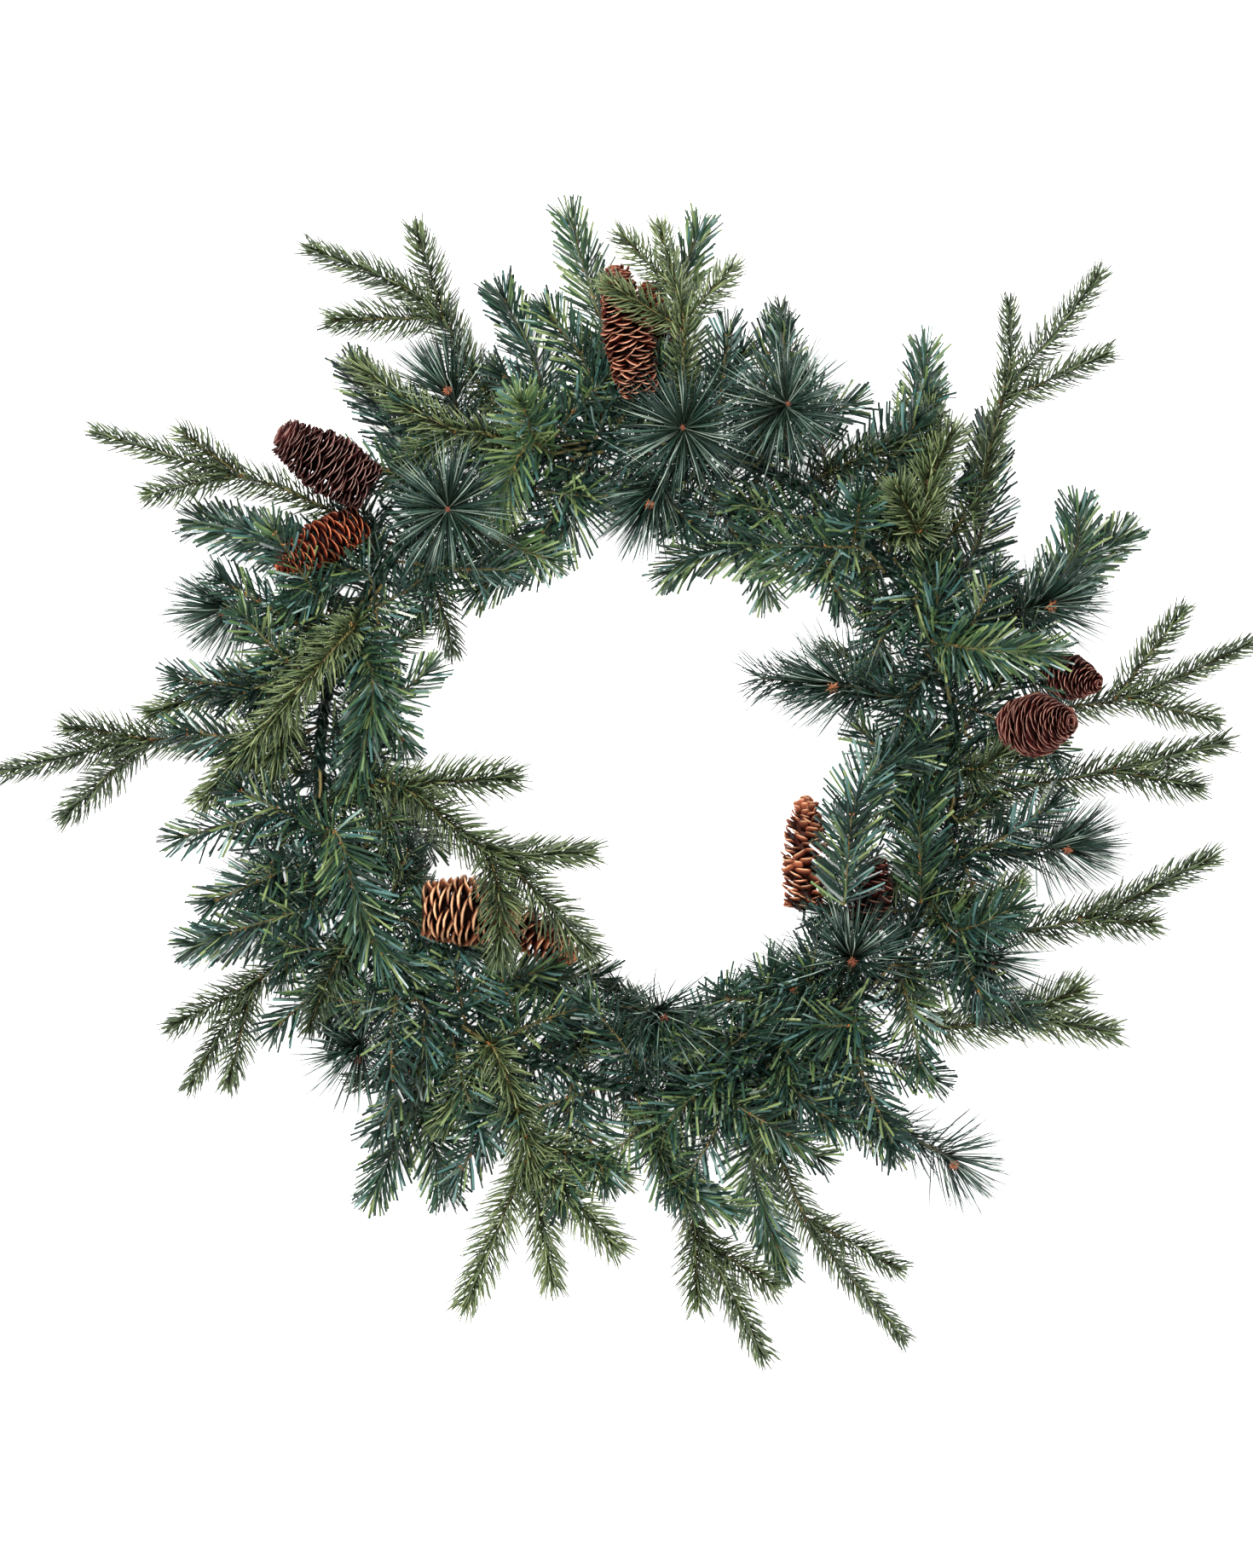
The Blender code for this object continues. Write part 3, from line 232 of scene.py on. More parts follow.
# %% The sprigs and the cones
SPRIGS = (
    ("foil_pine_left_high", 150, 0, 7, [[(-222, 92, 92), (-238, 2, 86)]],
     [[(-243, 190, 70), (-296, 157, 78)], [(-250, 186, 70), (-310, 212, 30), (-379, 234, 0)]]),
    ("foil_pine_right_high", 27, 45, 0, [[(262, 140, 78), (266, 225, 66)]],
     [[(330, 140, 46), (379, 172, 24), (442, 221, 0)],
      [(372, 165, 30), (398, 205, 44), (401, 240, 46)]]),
    ("foil_pine_bottom", 293, 0, 7, [[(30, -320, 76), (49, -353, 80), (86, -372, 84)]],
     [[(112, -330, 40), (125, -385, 10), (139, -428, 0)]]),
    ("spruce_left_upper", 146, 135, 0, [[(-296, 258, 58), (-345, 273, 58), (-467, 311, 44)],
      [(-340, 272, 58), (-390, 308, 78)], [(-352, 273, 58), (-424, 258, 34)]]),
    ("spruce_left_middle", 177, 180, 0, [[(-364, 37, 58), (-422, 39, 58), (-551, 11, 42)],
      [(-418, 39, 58), (-490, 50, 78)], [(-426, 38, 58), (-496, -27, 50)]]),
    ("spruce_left_front", 147, -45, 0, [[(-246, 129, 104), (-306, 62, 108), (-372, -14, 84)],
      [(-292, 80, 106), (-314, 1, 70)], [(-240, 140, 96), (-320, 98, 66), (-418, 63, 62)]]),
    ("spruce_inner_left", 183, 0, 0,
     [[(-221, 3, 92), (-196, -3, 106), (-117, -58, 130), (-35, -60, 116)],
      [(-200, -1, 104), (-101, 6, 114)], [(-122, -52, 128), (-109, -100, 152), (-109, -149, 156)],
      [(-110, -60, 128), (-68, -106, 132), (-32, -146, 122)], [(-222, 0, 90), (-192, -84, 74)]]),
    ("spruce_left_lower", 209, 45, 0, [[(-289, -150, 58), (-321, -169, 60), (-386, -265, 46)],
      [(-322, -170, 60), (-398, -213, 76)], [(-332, -184, 58), (-350, -261, 74)]]),
    ("spruce_bottom_left", 238, 0, 0,
     [[(-118, -230, 86), (-101, -270, 92), (-87, -318, 92), (-66, -439, 62)],
      [(-90, -310, 92), (-5, -345, 76)], [(-86, -324, 92), (-10, -403, 108)],
      [(-88, -330, 92), (-140, -454, 90)], [(-120, -228, 84), (-164, -300, 72)]]),
    ("spruce_bottom", 272, 180, 0,
     [[(49, -338, 48), (62, -393, 50), (92, -450, 50), (120, -504, 42)],
      [(60, -388, 50), (63, -456, 74)], [(70, -406, 50), (128, -441, 76)]],
     [[(66, -290, 40), (101, -300, 44)]]),
    ("spruce_bottom_right", 288, 180, 0, [[(139, -338, 62), (162, -389, 60), (244, -489, 44)],
      [(158, -384, 60), (238, -426, 76)]]),
    ("spruce_right_upper", 8, 90, 0, [[(386, 67, 56), (438, 75, 56), (551, 123, 42)],
      [(432, 74, 56), (490, 151, 62)], [(444, 76, 56), (516, 57, 74)]]),
    ("spruce_right_middle", 354, 0, 7, [[(330, -8, 62), (424, 11, 62), (527, 36, 42)],
      [(430, 12, 62), (500, -2, 74)]], [[(312, 14, 92), (332, 32, 98)]]),
    ("spruce_right_lower", 333, 45, 0, [[(330, -128, 54), (403, -119, 54), (518, -66, 42)],
      [(400, -120, 54), (462, -122, 70)]]),
    ("spruce_right_low", 318, 45, 0, [[(266, -210, 58), (349, -207, 58), (428, -219, 44)],
      [(340, -208, 58), (398, -182, 72)]]),
    ("spruce_top", 84, 0, 0, [[(49, 345, 108), (50, 402, 124), (30, 486, 96)],
      [(50, 396, 124), (-16, 433, 150)], [(50, 404, 122), (92, 451, 96)],
      [(45, 428, 116), (-3, 480, 92)]]),
    ("spruce_top_right_small", 66, 135, 0, [[(144, 350, 66), (136, 418, 58)]]),
    ("spruce_right_front", 38, 90, 0, [[(258, 228, 106), (264, 280, 110), (266, 333, 96)],
      [(256, 220, 104), (235, 258, 132)], [(262, 262, 110), (284, 305, 124)]]),
    ("spruce_top_right", 42, 180, 0,
     [[(304, 244, 70), (322, 303, 70), (338, 365, 68), (339, 423, 46)],
      [(332, 348, 68), (380, 400, 46), (419, 451, 40)],
      [(328, 336, 68), (372, 356, 70), (422, 379, 66)]]),
    ("spruce_top_left", 116, 90, 0, [[(-139, 367, 66), (-170, 420, 62), (-278, 475, 42)],
      [(-158, 402, 62), (-185, 488, 56)], [(-166, 412, 62), (-257, 408, 78)]]),
    ("spruce_upper_left", 116, 45, 0, [[(-118, 306, 84), (-154, 312, 86), (-240, 372, 66)],
      [(-150, 310, 84), (-206, 274, 62)]]),
    ("foil_pine_inner_left", 190, 45, 14,
     [[(-256, -40, 86), (-236, -98, 88), (-212, -150, 78), (-172, -162, 66)]]),
    ("foil_pine_lower_left", 206, 90, 0, [[(-262, -170, 44), (-252, -223, 40)]],
     [[(-310, -125, 46), (-382, -143, 38)]]),
    ("foil_pine_olive", 226, 45, 0, [[(-180, -215, 76), (-169, -255, 70)]]),
    ("foil_pine_bottom_left", 235, -180, 0, [[(-110, -178, 50), (-26, -173, 48)]],
     [[(-178, -250, 42), (-223, -361, 38)], [(-186, -268, 40), (-161, -357, 38)]]),
    ("foil_pine_bottom_right", 312, 0, -7, [[(204, -204, 88), (150, -215, 86), (76, -233, 72)],
      [(196, -206, 84), (172, -256, 56), (109, -278, 46)]]),
    ("foil_pine_inner_right", 5, -45, 0, [[(262, -10, 86), (259, -105, 80)],
      [(266, 10, 82), (240, 14, 112)]]),
    ("foil_pine_over_cone", 359, -90, 0, [[(244, 26, 112), (206, 0, 134), (188, -105, 146)]]),
    ("foil_pine_right_fan", 328, 90, 0, [[(292, -128, 94), (335, -109, 116)]]),
    ("foil_pine_right_bright", 17, -45, 0, [[(304, 118, 106), (368, 115, 96)]]),
    ("foil_pine_top", 95, 180, 0, [[(-10, 366, 52), (-26, 420, 54), (-50, 498, 44)]],
     [[(45, 366, 44), (45, 430, 40), (63, 488, 38)]]),
    ("foil_pine_inner_top", 39, -45, 0, [[(190, 208, 84), (64, 202, 74), (40, 187, 70)],
      [(200, 212, 84), (203, 246, 124)]]),
    ("foil_pine_top_right", 46, 135, 0, [[(252, 270, 76), (258, 320, 70), (264, 379, 52)]]),
    ("foil_pine_right_dark", 33, 180, 0, [[(306, 202, 52), (322, 311, 46)]]),
    ("foil_pine_top_left_dark", 126, 45, 0, [[(-196, 300, 42), (-242, 367, 38)]]),
    ("foil_pine_top_middle", 101, 45, 0, [[(-78, 366, 46), (-109, 431, 40)]],
     [[(-34, 366, 74), (-68, 412, 88)]]),
    ("foil_pine_bright_front", 101, 0, 0, [[(-86, 296, 104), (-112, 240, 116)],
      [(-80, 300, 102), (-91, 330, 140)]]),
    ("foil_pine_inner_top_left", 98, -45, 0, [[(-44, 240, 66), (-131, 172, 62)]]),
    ("long_pine_left", 155, 135, 0, [[(-296, 157, 62), (-355, 155, 62)]]),
    ("long_pine_lower_left", 213, 180, 0, [[(-226, -190, 62), (-236, -238, 62)]],
     [[(-276, -98, 40), (-318, -94, 36)]]),
    ("long_pine_bottom", 246, -90, 0, [[(-40, -222, 62), (14, -231, 58)],
      [(-76, -214, 66), (-20, -196, 82), (34, -200, 84)]]),
    ("long_pine_inner_right", 12, 0, 0, [[(236, 76, 92), (188, 87, 98), (118, 93, 92)]]),
    ("long_pine_low_right", 314, -135, 0, [[(188, -170, 78), (146, -177, 78)],
      [(196, -168, 80), (196, -150, 116)]]),
    ("long_pine_right_lower", 341, 135, 0, [[(334, -62, 70), (388, -53, 66)]],
     [[(290, -136, 70), (320, -156, 74)]]),
    ("long_pine_right_upper", 24, 180, 0, [[(345, 150, 72), (392, 167, 70)]]),
    ("long_pine_bottom_right", 306, 45, 0, [[(206, -285, 56), (289, -332, 48)]]),
    ("long_pine_top_front", 72, 0, 0, [[(118, 312, 94), (140, 330, 132)]],
     [[(60, 305, 100), (49, 309, 138)], [(62, 300, 100), (36, 270, 112), (20, 248, 112)]]),
    ("long_pine_upper_left", 128, 90, 7, [[(-155, 246, 92), (-155, 238, 134)]],
     [[(-142, 302, 62), (-157, 350, 62)]]),
)

CONES = (
    ("cone_left_large", 140, 0, (-223, 257, 122), (-300, 303, 126), 27.0, (-215, 245, 92)),
    ("cone_left_slim", 146, 45, (-232, 232, 88), (-304, 190, 96), 19.0, (-222, 222, 78)),
    ("cone_inner_large", 222, 0, (-178, -110, 112), (-98, -112, 112), 31.0, (-205, -120, 92)),
    ("cone_inner_small", 229, -45, (-102, -118, 76), (-46, -154, 70), 21.0, (-140, -140, 66)),
    ("cone_lower_right_open", 327, -45, (156, -110, 92), (157, -14, 98), 23.0, (186, -132, 84)),
    ("cone_lower_right_dark", 334, 0, (207, -128, 92), (222, -66, 88), 20.0, (222, -138, 82)),
    ("cone_right_large", 7, 0, (338, 50, 96), (384, 54, 138), 27.0, (318, 48, 86)),
    ("cone_right_dark", 13, 90, (374, 98, 66), (412, 88, 104), 19.0, (330, 96, 62)),
    ("cone_top_long", 85, 45, (12, 340, 108), (-10, 449, 112), 22.5, (14, 322, 96)),
    ("cone_top_back", 83, 135, (32, 346, 62), (18, 440, 64), 20.0, (34, 330, 60)),
)
print(len(SPRIGS), "sprigs and", len(CONES), "cones")

# %% [markdown]
# ## Finishes
#
# Every colour is written as the hex value seen on a screen, and one function turns it to the
# linear value that the shader works with. One small function adds a node with its settings and
# links. Two numbers travel with every mesh: tone, a shade picked for each needle, strip or
# scale, and reach, which runs from 0 at its root to 1 at its tip.
#
# All the plastics share one recipe. The tone picks a colour from a ramp, and a darker colour is
# mixed in near the root as painted shade, where light is scarce, broken up by soft patches.

# %% Colours and nodes


def linear(code):
    """An sRGB hex colour as linear red, green, blue and alpha."""
    parts = [int(code[k : k + 2], 16) / 255 for k in (1, 3, 5)]
    return (*[c / 12.92 if c <= 0.04045 else ((c + 0.055) / 1.055) ** 2.4 for c in parts], 1.0)


def add(tree, kind, links=(), stops=(), **settings):
    """Adds a node: settings on it, values and links on its inputs, colour stops on a ramp."""
    node = tree.nodes.new(kind)
    for name, value in settings.items():
        setattr(node, name, value)
    for name, value in dict(links).items():
        if isinstance(value, bpy.types.NodeSocket):
            tree.links.new(value, node.inputs[name])
        else:
            node.inputs[name].default_value = value
    for k, (place, code) in enumerate(stops):
        marks = node.color_ramp.elements
        mark = marks[k] if k < len(marks) else marks.new(place)
        mark.position, mark.color = place, linear(code)
    return node


def new_finish(name, values):
    """A finish whose shader has the given values, ready for its colour and its grain."""
    finish = bpy.data.materials.new(name)
    finish.use_nodes = True
    tree = finish.node_tree
    tree.nodes.clear()
    shader = add(tree, "ShaderNodeBsdfPrincipled", values)
    add(tree, "ShaderNodeOutputMaterial", {"Surface": shader.outputs["BSDF"]})
    return finish, tree, shader


def read_piece(tree):
    """The sockets for a piece's tone, its reach and its own coordinates."""
    tone = add(tree, "ShaderNodeAttribute", attribute_name="tone")
    reach = add(tree, "ShaderNodeAttribute", attribute_name="reach")
    place = add(tree, "ShaderNodeTexCoord")
    return tone.outputs["Fac"], reach.outputs["Fac"], place.outputs["Object"]


# How far from the root the painted shade reaches
ROOT_SHADE_REACH = 0.55


def plastic(name, roughness, ior, stops, root_shade, shade_amount, grain_mm):
    """Colour picked by tone, darkened towards one colour at the root and in patches: painted
    shade.
    """
    finish, tree, shader = new_finish(name, {"Roughness": roughness, "IOR": ior})
    tone, reach, place = read_piece(tree)
    colour = add(tree, "ShaderNodeValToRGB", {"Fac": tone}, stops)
    patch = add(tree, "ShaderNodeTexNoise", {
        "Vector": place, "Scale": 1.0 / (grain_mm * MM), "Detail": 3.0,
    })
    # Painted shade: the darker colour is mixed in most at the root, deep in the foliage
    shade_near_root = add(tree, "ShaderNodeMapRange", {
        "Value": reach, "From Max": ROOT_SHADE_REACH, "To Min": shade_amount, "To Max": 0.0,
    })
    spread = add(tree, "ShaderNodeMath", {0: shade_near_root.outputs[0], 1: patch.outputs["Fac"]},
                 operation="MULTIPLY")
    mixed = add(tree, "ShaderNodeMix", {0: spread.outputs[0], 6: colour.outputs["Color"],
                7: linear(root_shade)}, data_type="RGBA")
    tree.links.new(mixed.outputs[2], shader.inputs["Base Color"])
    return finish


# %% [markdown]
# ### Moulded polyethylene, the spruce
#
# Spruce tips of this kind are moulded in polyethylene, each twig in one shot, so the needles are
# round, curved and soft looking: a wide dull highlight, olive green with lighter tips.

# %% Moulded spruce needles
spruce_green = plastic("moulded_polyethylene_olive", 0.4, 1.51, (
    (0.0, "#1f2b1d"), (0.35, "#3a4930"), (0.65, "#5d6e43"), (1.0, "#949f6c"),
), "#252f1f", 0.9, 30.0)

# %% [markdown]
# ### Cut vinyl foil
#
# The flat needles are cut as a fringe from rolled vinyl foil that is darker on one side, and two
# or three foils are wound together: deep green, leaf green with a lime share, and blue green.
# The foil is calendered smooth, so it throws small sharp highlights.

# %% Cut foil strips
foil_green = plastic("cut_vinyl_foil_green", 0.3, 1.53, (
    (0.0, "#11201d"), (0.25, "#1c342c"), (0.48, "#314e39"), (0.64, "#537040"),
    (0.76, "#8a9a62"), (0.84, "#335a55"), (0.93, "#5c807a"), (1.0, "#a9bdb2"),
), "#14241c", 0.7, 40.0)

# %% [markdown]
# ### Drawn vinyl, the long needles
#
# The long needles are thin drawn vinyl, blue green, and where the light runs along one it looks
# grey. That highlight is painted: about a quarter of the needles of each burst are painted pale.

# %% Long needles
# The palest end of this ramp is the painted highlight of the long needles
long_green = plastic("drawn_vinyl_blue_green", 0.36, 1.53, (
    (0.0, "#0e1e1a"), (0.45, "#1b372e"), (0.74, "#446557"), (1.0, "#a6b6a6"),
), "#3a3420", 0.4, 40.0)

# %% [markdown]
# ### Twigs and buds
#
# The stems show between the needles as thin olive brown lines, with orange brown spots at the
# forks and red brown bud scales in the middle of each burst of long needles.

# %% Twig bark and bud scales
twig_brown = plastic("moulded_polyethylene_twig", 0.55, 1.51, (
    (0.0, "#3f4426"), (0.5, "#7a6c38"), (0.8, "#a8703a"), (1.0, "#c0743a"),
), "#4a4a2a", 0.4, 6.0)
bud_red = plastic("moulded_polyethylene_bud", 0.6, 1.51, (
    (0.0, "#5a2c1c"), (0.5, "#8a4a30"), (1.0, "#b87a50"),
), "#3f2018", 0.8, 8.0)

# %% [markdown]
# ### Wound core and tie
#
# The core's two wires are lacquered dark green, and short dark foil fringe is wound between them.
# It hides the core and fills the ring behind the sprigs.

# %% Core finishes
core_foil = plastic("cut_vinyl_foil_dark", 0.42, 1.53, (
    (0.0, "#0b1a18"), (0.6, "#152c26"), (1.0, "#2a4a3c"),
), "#0b1513", 0.7, 40.0)
wire_green = plastic("lacquered_steel_wire", 0.3, 1.5, (
    (0.0, "#0f231b"), (1.0, "#1f3d2d"),
), "#0c1a14", 0.3, 10.0)

# %% [markdown]
# ### Pine cones
#
# A cone's scales are dry wood, brown on the face and darker towards the root, where they overlap,
# as painted shade. Along the thin rim they are pale, partly worn and partly a painted highlight.
# The cones differ: deep red brown, rust, tan, brown, light orange and wine red.
# The grain runs along the scale and is finer than the picture shows, so it is drawn coarser.

# %% Cone scales
GRAIN_MM, GRAIN_DEPTH_MM = 5.0, 0.6


def cone_finish(name, deep, face, rim, dark, worn_and_glint):
    """Dry wood: painted shade at its root, then its face, then a pale rim with painted highlight.
    """
    finish, tree, shader = new_finish(name, {"Roughness": 0.62, "Specular IOR Level": 0.2})
    tone, reach, place = read_piece(tree)
    # Painted shade at the root of each scale, and painted highlight mixed with wear at its rim
    along = add(tree, "ShaderNodeValToRGB", {"Fac": reach}, (
        (0.0, dark), (0.55, deep), (0.9, face), (0.975, rim), (1.0, worn_and_glint),
    ))
    grain = add(tree, "ShaderNodeTexNoise", {
        "Vector": place, "Scale": 1.0 / (GRAIN_MM * MM), "Detail": 5.0, "Roughness": 0.65,
    })
    shade = add(tree, "ShaderNodeMath", {0: tone, 1: grain.outputs["Fac"]}, operation="ADD")
    light = add(tree, "ShaderNodeMapRange", {
        "Value": shade.outputs[0], "From Min": 0.5, "From Max": 1.5, "To Min": 0.5, "To Max": 1.5,
    })
    tinted = add(tree, "ShaderNodeHueSaturation", {
        "Color": along.outputs["Color"], "Value": light.outputs[0],
    })
    bump = add(tree, "ShaderNodeBump", {
        "Height": grain.outputs["Fac"], "Strength": 0.5, "Distance": GRAIN_DEPTH_MM * MM,
    })
    tree.links.new(tinted.outputs["Color"], shader.inputs["Base Color"])
    tree.links.new(bump.outputs["Normal"], shader.inputs["Normal"])
    return finish


WOOD_COLOURS = {
    # name: (deep, face, rim, dark, worn_and_glint)
    # dark and deep are painted shade at the root; rim and worn_and_glint are partly painted
    # highlight
    "deep_red": ("#280c0b", "#361110", "#5c3632", "#160706", "#9a7a70"),
    "rust": ("#3a0f07", "#5c1d0e", "#904226", "#200806", "#c27c54"),
    "tan": ("#462214", "#7c4830", "#a4704e", "#26120c", "#cba079"),
    "brown": ("#38120b", "#582418", "#8c5640", "#200b08", "#c09074"),
    "orange": ("#4c2014", "#8c4c34", "#b87c58", "#2c120c", "#d8aa86"),
    "wine": ("#270806", "#360c09", "#5c2a22", "#150504", "#a47c6c"),
}
WOODS = {name: cone_finish("pine_scale_" + name, *WOOD_COLOURS[name]) for name in WOOD_COLOURS}
print(len(WOODS), "cone finishes")

# %% [markdown]
# ## Shapes that are modelled once
#
# Each small shape is modelled once, in millimetres, standing on the origin and pointing
# up: a cylinder of few sides is cut into rings by bisect, each ring is scaled and pushed to its
# place, and a sharp tip is merged to a point. One function does these steps, because every
# needle, strip and scale needs them.

# %% Modelling a small shape


def select_ring(mesh, height, slack):
    """Selects the points at one height of a mesh in edit mode."""
    points = bmesh.from_edit_mesh(mesh)
    for vert in points.verts:
        vert.select = abs(vert.co.z - height) < slack
    points.select_flush_mode()
    bmesh.update_edit_mesh(mesh)


def read_triangles(thing):
    """Points outwards, cuts to triangles and reads an object in edit mode, then removes it."""
    bpy.ops.mesh.select_all(action="SELECT")
    bpy.ops.mesh.normals_make_consistent(inside=False)
    bpy.ops.mesh.quads_convert_to_tris()
    bpy.ops.object.mode_set(mode="OBJECT")
    mesh = thing.data
    points = np.array([v.co for v in mesh.vertices], float)
    faces = np.array([p.vertices for p in mesh.polygons], int)
    bpy.data.objects.remove(thing, do_unlink=True)
    bpy.data.meshes.remove(mesh)
    return points, faces


def small_shape(name, sides, radius, length, rings, flat=(1.0, 1.0), pointed=False, slack=0.02):
    """Models one shape. A ring is its height, its two widths and its push in x and y."""
    bpy.ops.mesh.primitive_cylinder_add(vertices=sides, radius=radius, depth=length,
                                        location=(0, 0, length / 2), scale=(*flat, 1.0))
    bpy.ops.object.transform_apply(location=True, rotation=True, scale=True)
    shape = bpy.context.active_object
    bpy.ops.object.mode_set(mode="EDIT")
    bpy.ops.mesh.select_mode(type="VERT")
    for height, *_ in rings[1:-1]:
        bpy.ops.mesh.select_all(action="SELECT")
        bpy.ops.mesh.bisect(plane_co=(0, 0, height), plane_no=(0, 0, 1))
    for height, wide, thick, push_x, push_y in rings:
        select_ring(shape.data, height, slack)
        bpy.ops.transform.resize(value=(wide, thick, 1), center_override=(0, 0, height))
        bpy.ops.transform.translate(value=(push_x, push_y, 0))
    if pointed:
        select_ring(shape.data, length, slack)
        bpy.ops.mesh.merge(type="CENTER")
    points, faces = read_triangles(shape)
    print(f"{name}: {len(faces)} triangles")
    return points, faces, np.clip(points[:, 2] / length, 0.0, 1.0), length


bpy.ops.object.select_all(action="DESELECT")

# %% [markdown]
# ### Spruce needle
#
# 21 mm long, 1.5 mm thick, blunt, and curved towards the twig's tip. It could be a curve with a
# bevel; a three sided cylinder with one ring takes a fifth of the faces, and its smooth shading
# hides the corners at this size.

# %% Spruce needle
SPRUCE_NEEDLE = small_shape("spruce needle", 3, 0.86, 21.0, (
    (0.0, 0.75, 0.75, 0, 0), (12.0, 1.0, 1.0, 1.0, 0), (21.0, 0.5, 0.5, 4.2, 0),
))

# %% [markdown]
# ### Foil strip
#
# 40 mm long, 2.2 mm wide and thin, cut straight across at its end, with a slight sag. A flat
# three sided bar has a third fewer faces than a lath, and its ridge is the fold that rolling
# leaves in the foil.

# %% Foil strip
FOIL_STRIP = small_shape("foil strip", 3, 1.0, 40.0, (
    (0.0, 0.62, 1.0, 0, 0), (20.0, 1.0, 1.0, 0.5, 0.9), (40.0, 0.92, 0.9, 2.2, 3.4),
), flat=(1.28, 0.3))

# %% [markdown]
# ### Long needle
#
# 70 mm long and 1 mm thick, almost straight.

# %% Long needle
LONG_NEEDLE = small_shape("long needle", 3, 0.58, 70.0, (
    (0.0, 0.9, 0.9, 0, 0), (40.0, 1.1, 1.1, 1.6, 0.5), (70.0, 0.5, 0.5, 5.0, 1.4),
), pointed=True)

# %% [markdown]
# ### Bud scale
#
# Buds and stem joints are small pointed drops, set in tufts.

# %% Bud scale
BUD_SCALE = small_shape("bud scale", 5, 0.9, 6.0, (
    (0.0, 0.5, 0.5, 0, 0), (2.0, 1.25, 1.1, 0.1, 0), (6.0, 0.3, 0.3, 0.5, 0),
), pointed=True)

# %% [markdown]
# ### Cone scale
#
# A woody scale is a thin spoon: narrow where it leaves the cone's axis, widest near its end, with
# a rounded rim that is thick in its middle and thin at its sides. A flat eight sided cylinder has
# that lens section from the start. It is modelled 1 mm long, wide and thick, so that every cone
# can stretch it to its own size.

# %% Cone scale
CONE_SCALE = small_shape("cone scale", 8, 0.5, 1.0, (
    (0.0, 0.35, 0.5, 0, 0), (0.78, 1.0, 0.75, 0, 0), (0.94, 0.88, 1.0, 0, 0),
    (1.0, 0.58, 0.5, 0, 0),
), slack=0.005)

# %% [markdown]
# ## Planting copies
#
# A sprig is one piece with hundreds of copies of the same small shapes. Real instances would be
# lighter, but each piece here has to be a mesh of its own, so a bunch collects the copies' points
# and faces, and makes one mesh of them with their tone and reach.

# %% A bunch of copies
FLOOR_GAP = 0.15
bench = bpy.data.collections.new("garland_foliage")
bpy.context.scene.collection.children.link(bench)


class Bunch:
    """Collects copies of small shapes and makes one piece of them."""

    def __init__(self, *finishes):
        self.finishes = finishes
        self.parts = []

    def plant(self, shape, turns, spots, tones, finish, smooth=True):
        """Copies a shape to many places: one 3 x 3 turn, one spot and one tone for each."""
        points, faces, reach, _ = shape
        count = len(spots)
        placed = np.einsum("nij,kj->nki", turns, points) + np.asarray(spots)[:, None, :]
        steps = (np.arange(count) * len(points))[:, None, None]
        self.parts.append((
            placed.reshape(-1, 3), (faces[None] + steps).reshape(-1, 3),
            np.repeat(tones, len(points)), np.tile(reach, count),
            self.finishes.index(finish), smooth,
        ))

    def put(self, points, faces, reach, tone, finish):
        """Adds one shape that is in its place already."""
        tones = np.full(len(points), tone)
        self.parts.append((points, faces, tones, reach, self.finishes.index(finish), True))

    def make(self, name, node, slot):
        """One mesh of all parts, in metres, which rides on the garland in place of its solid."""
        starts = np.cumsum([0] + [len(p[0]) for p in self.parts[:-1]])
        points = np.concatenate([p[0] for p in self.parts]) + np.array(SHIFT)
        points[:, 2] = np.maximum(points[:, 2], FLOOR_GAP)
        faces = np.concatenate([p[1] + s for p, s in zip(self.parts, starts)])
        mesh = bpy.data.meshes.new(name)
        mesh.vertices.add(len(points))
        mesh.vertices.foreach_set("co", (points * MM).ravel())
        mesh.loops.add(faces.size)
        mesh.loops.foreach_set("vertex_index", faces.ravel())
        mesh.polygons.add(len(faces))
        mesh.polygons.foreach_set("loop_start", np.arange(0, faces.size, 3))
        for title, column in (("material_index", 4), ("use_smooth", 5)):
            values = np.concatenate([np.full(len(p[1]), p[column]) for p in self.parts])
            mesh.polygons.foreach_set(title, values)
        mesh.update(calc_edges=True)
        for title, column in (("tone", 2), ("reach", 3)):
            values = np.concatenate([p[column] for p in self.parts]).astype(np.float32)
            mesh.attributes.new(title, "FLOAT", "POINT").data.foreach_set("value", values)
        for finish in self.finishes:
            mesh.materials.append(finish)
        piece = bpy.data.objects.new(name, mesh)
        bench.objects.link(piece)
        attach(piece, "root")
        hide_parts(node)


# %% [markdown]
# The needles of one stem are placed all at once: a place along the stem, a clock angle round it,
# and how far each leans off it. The clock steps by the golden angle, as leaves do, so no side of
# the stem stays bare and no rows show. A tip that would dip into the floor is bent up.

# %% Directions round a stem
GOLDEN = math.radians(137.508)
CLOCK_SPREAD = 0.2
LOWEST_TIP = 1.6


def unit(rows):
    return rows / np.maximum(np.linalg.norm(rows, axis=1, keepdims=True), 1e-9)


def same(row, count):
    """One direction or point, repeated."""
    return np.repeat(np.array(row, float)[None], count, axis=0)


def shades(luck, middle, spread, count):
    """Tones round a middle one, one for each copy."""
    return np.clip(middle + luck.normal(0, spread, count), 0, 1)


def read_route(route, distances, reach=3.0):
    """Points and directions at many distances along a stem."""
    def at(d):
        d = np.clip(d, 0.0, route.length)
        return np.stack([np.interp(d, route.travel, route.line[:, k]) for k in range(3)], axis=1)
    return at(distances), unit(at(distances + reach) - at(distances - reach))


def rays_round(along, clocks, leans):
    """Directions that lean off the stem by an angle, at a clock angle round it."""
    upright = np.where(np.abs(along[:, 2:3]) < 0.9, [[0.0, 0.0, 1.0]], [[1.0, 0.0, 0.0]])
    side = unit(np.cross(along, upright))
    over = np.cross(side, along)
    out = side * np.cos(clocks)[:, None] + over * np.sin(clocks)[:, None]
    return along * np.cos(leans)[:, None] + out * np.sin(leans)[:, None]


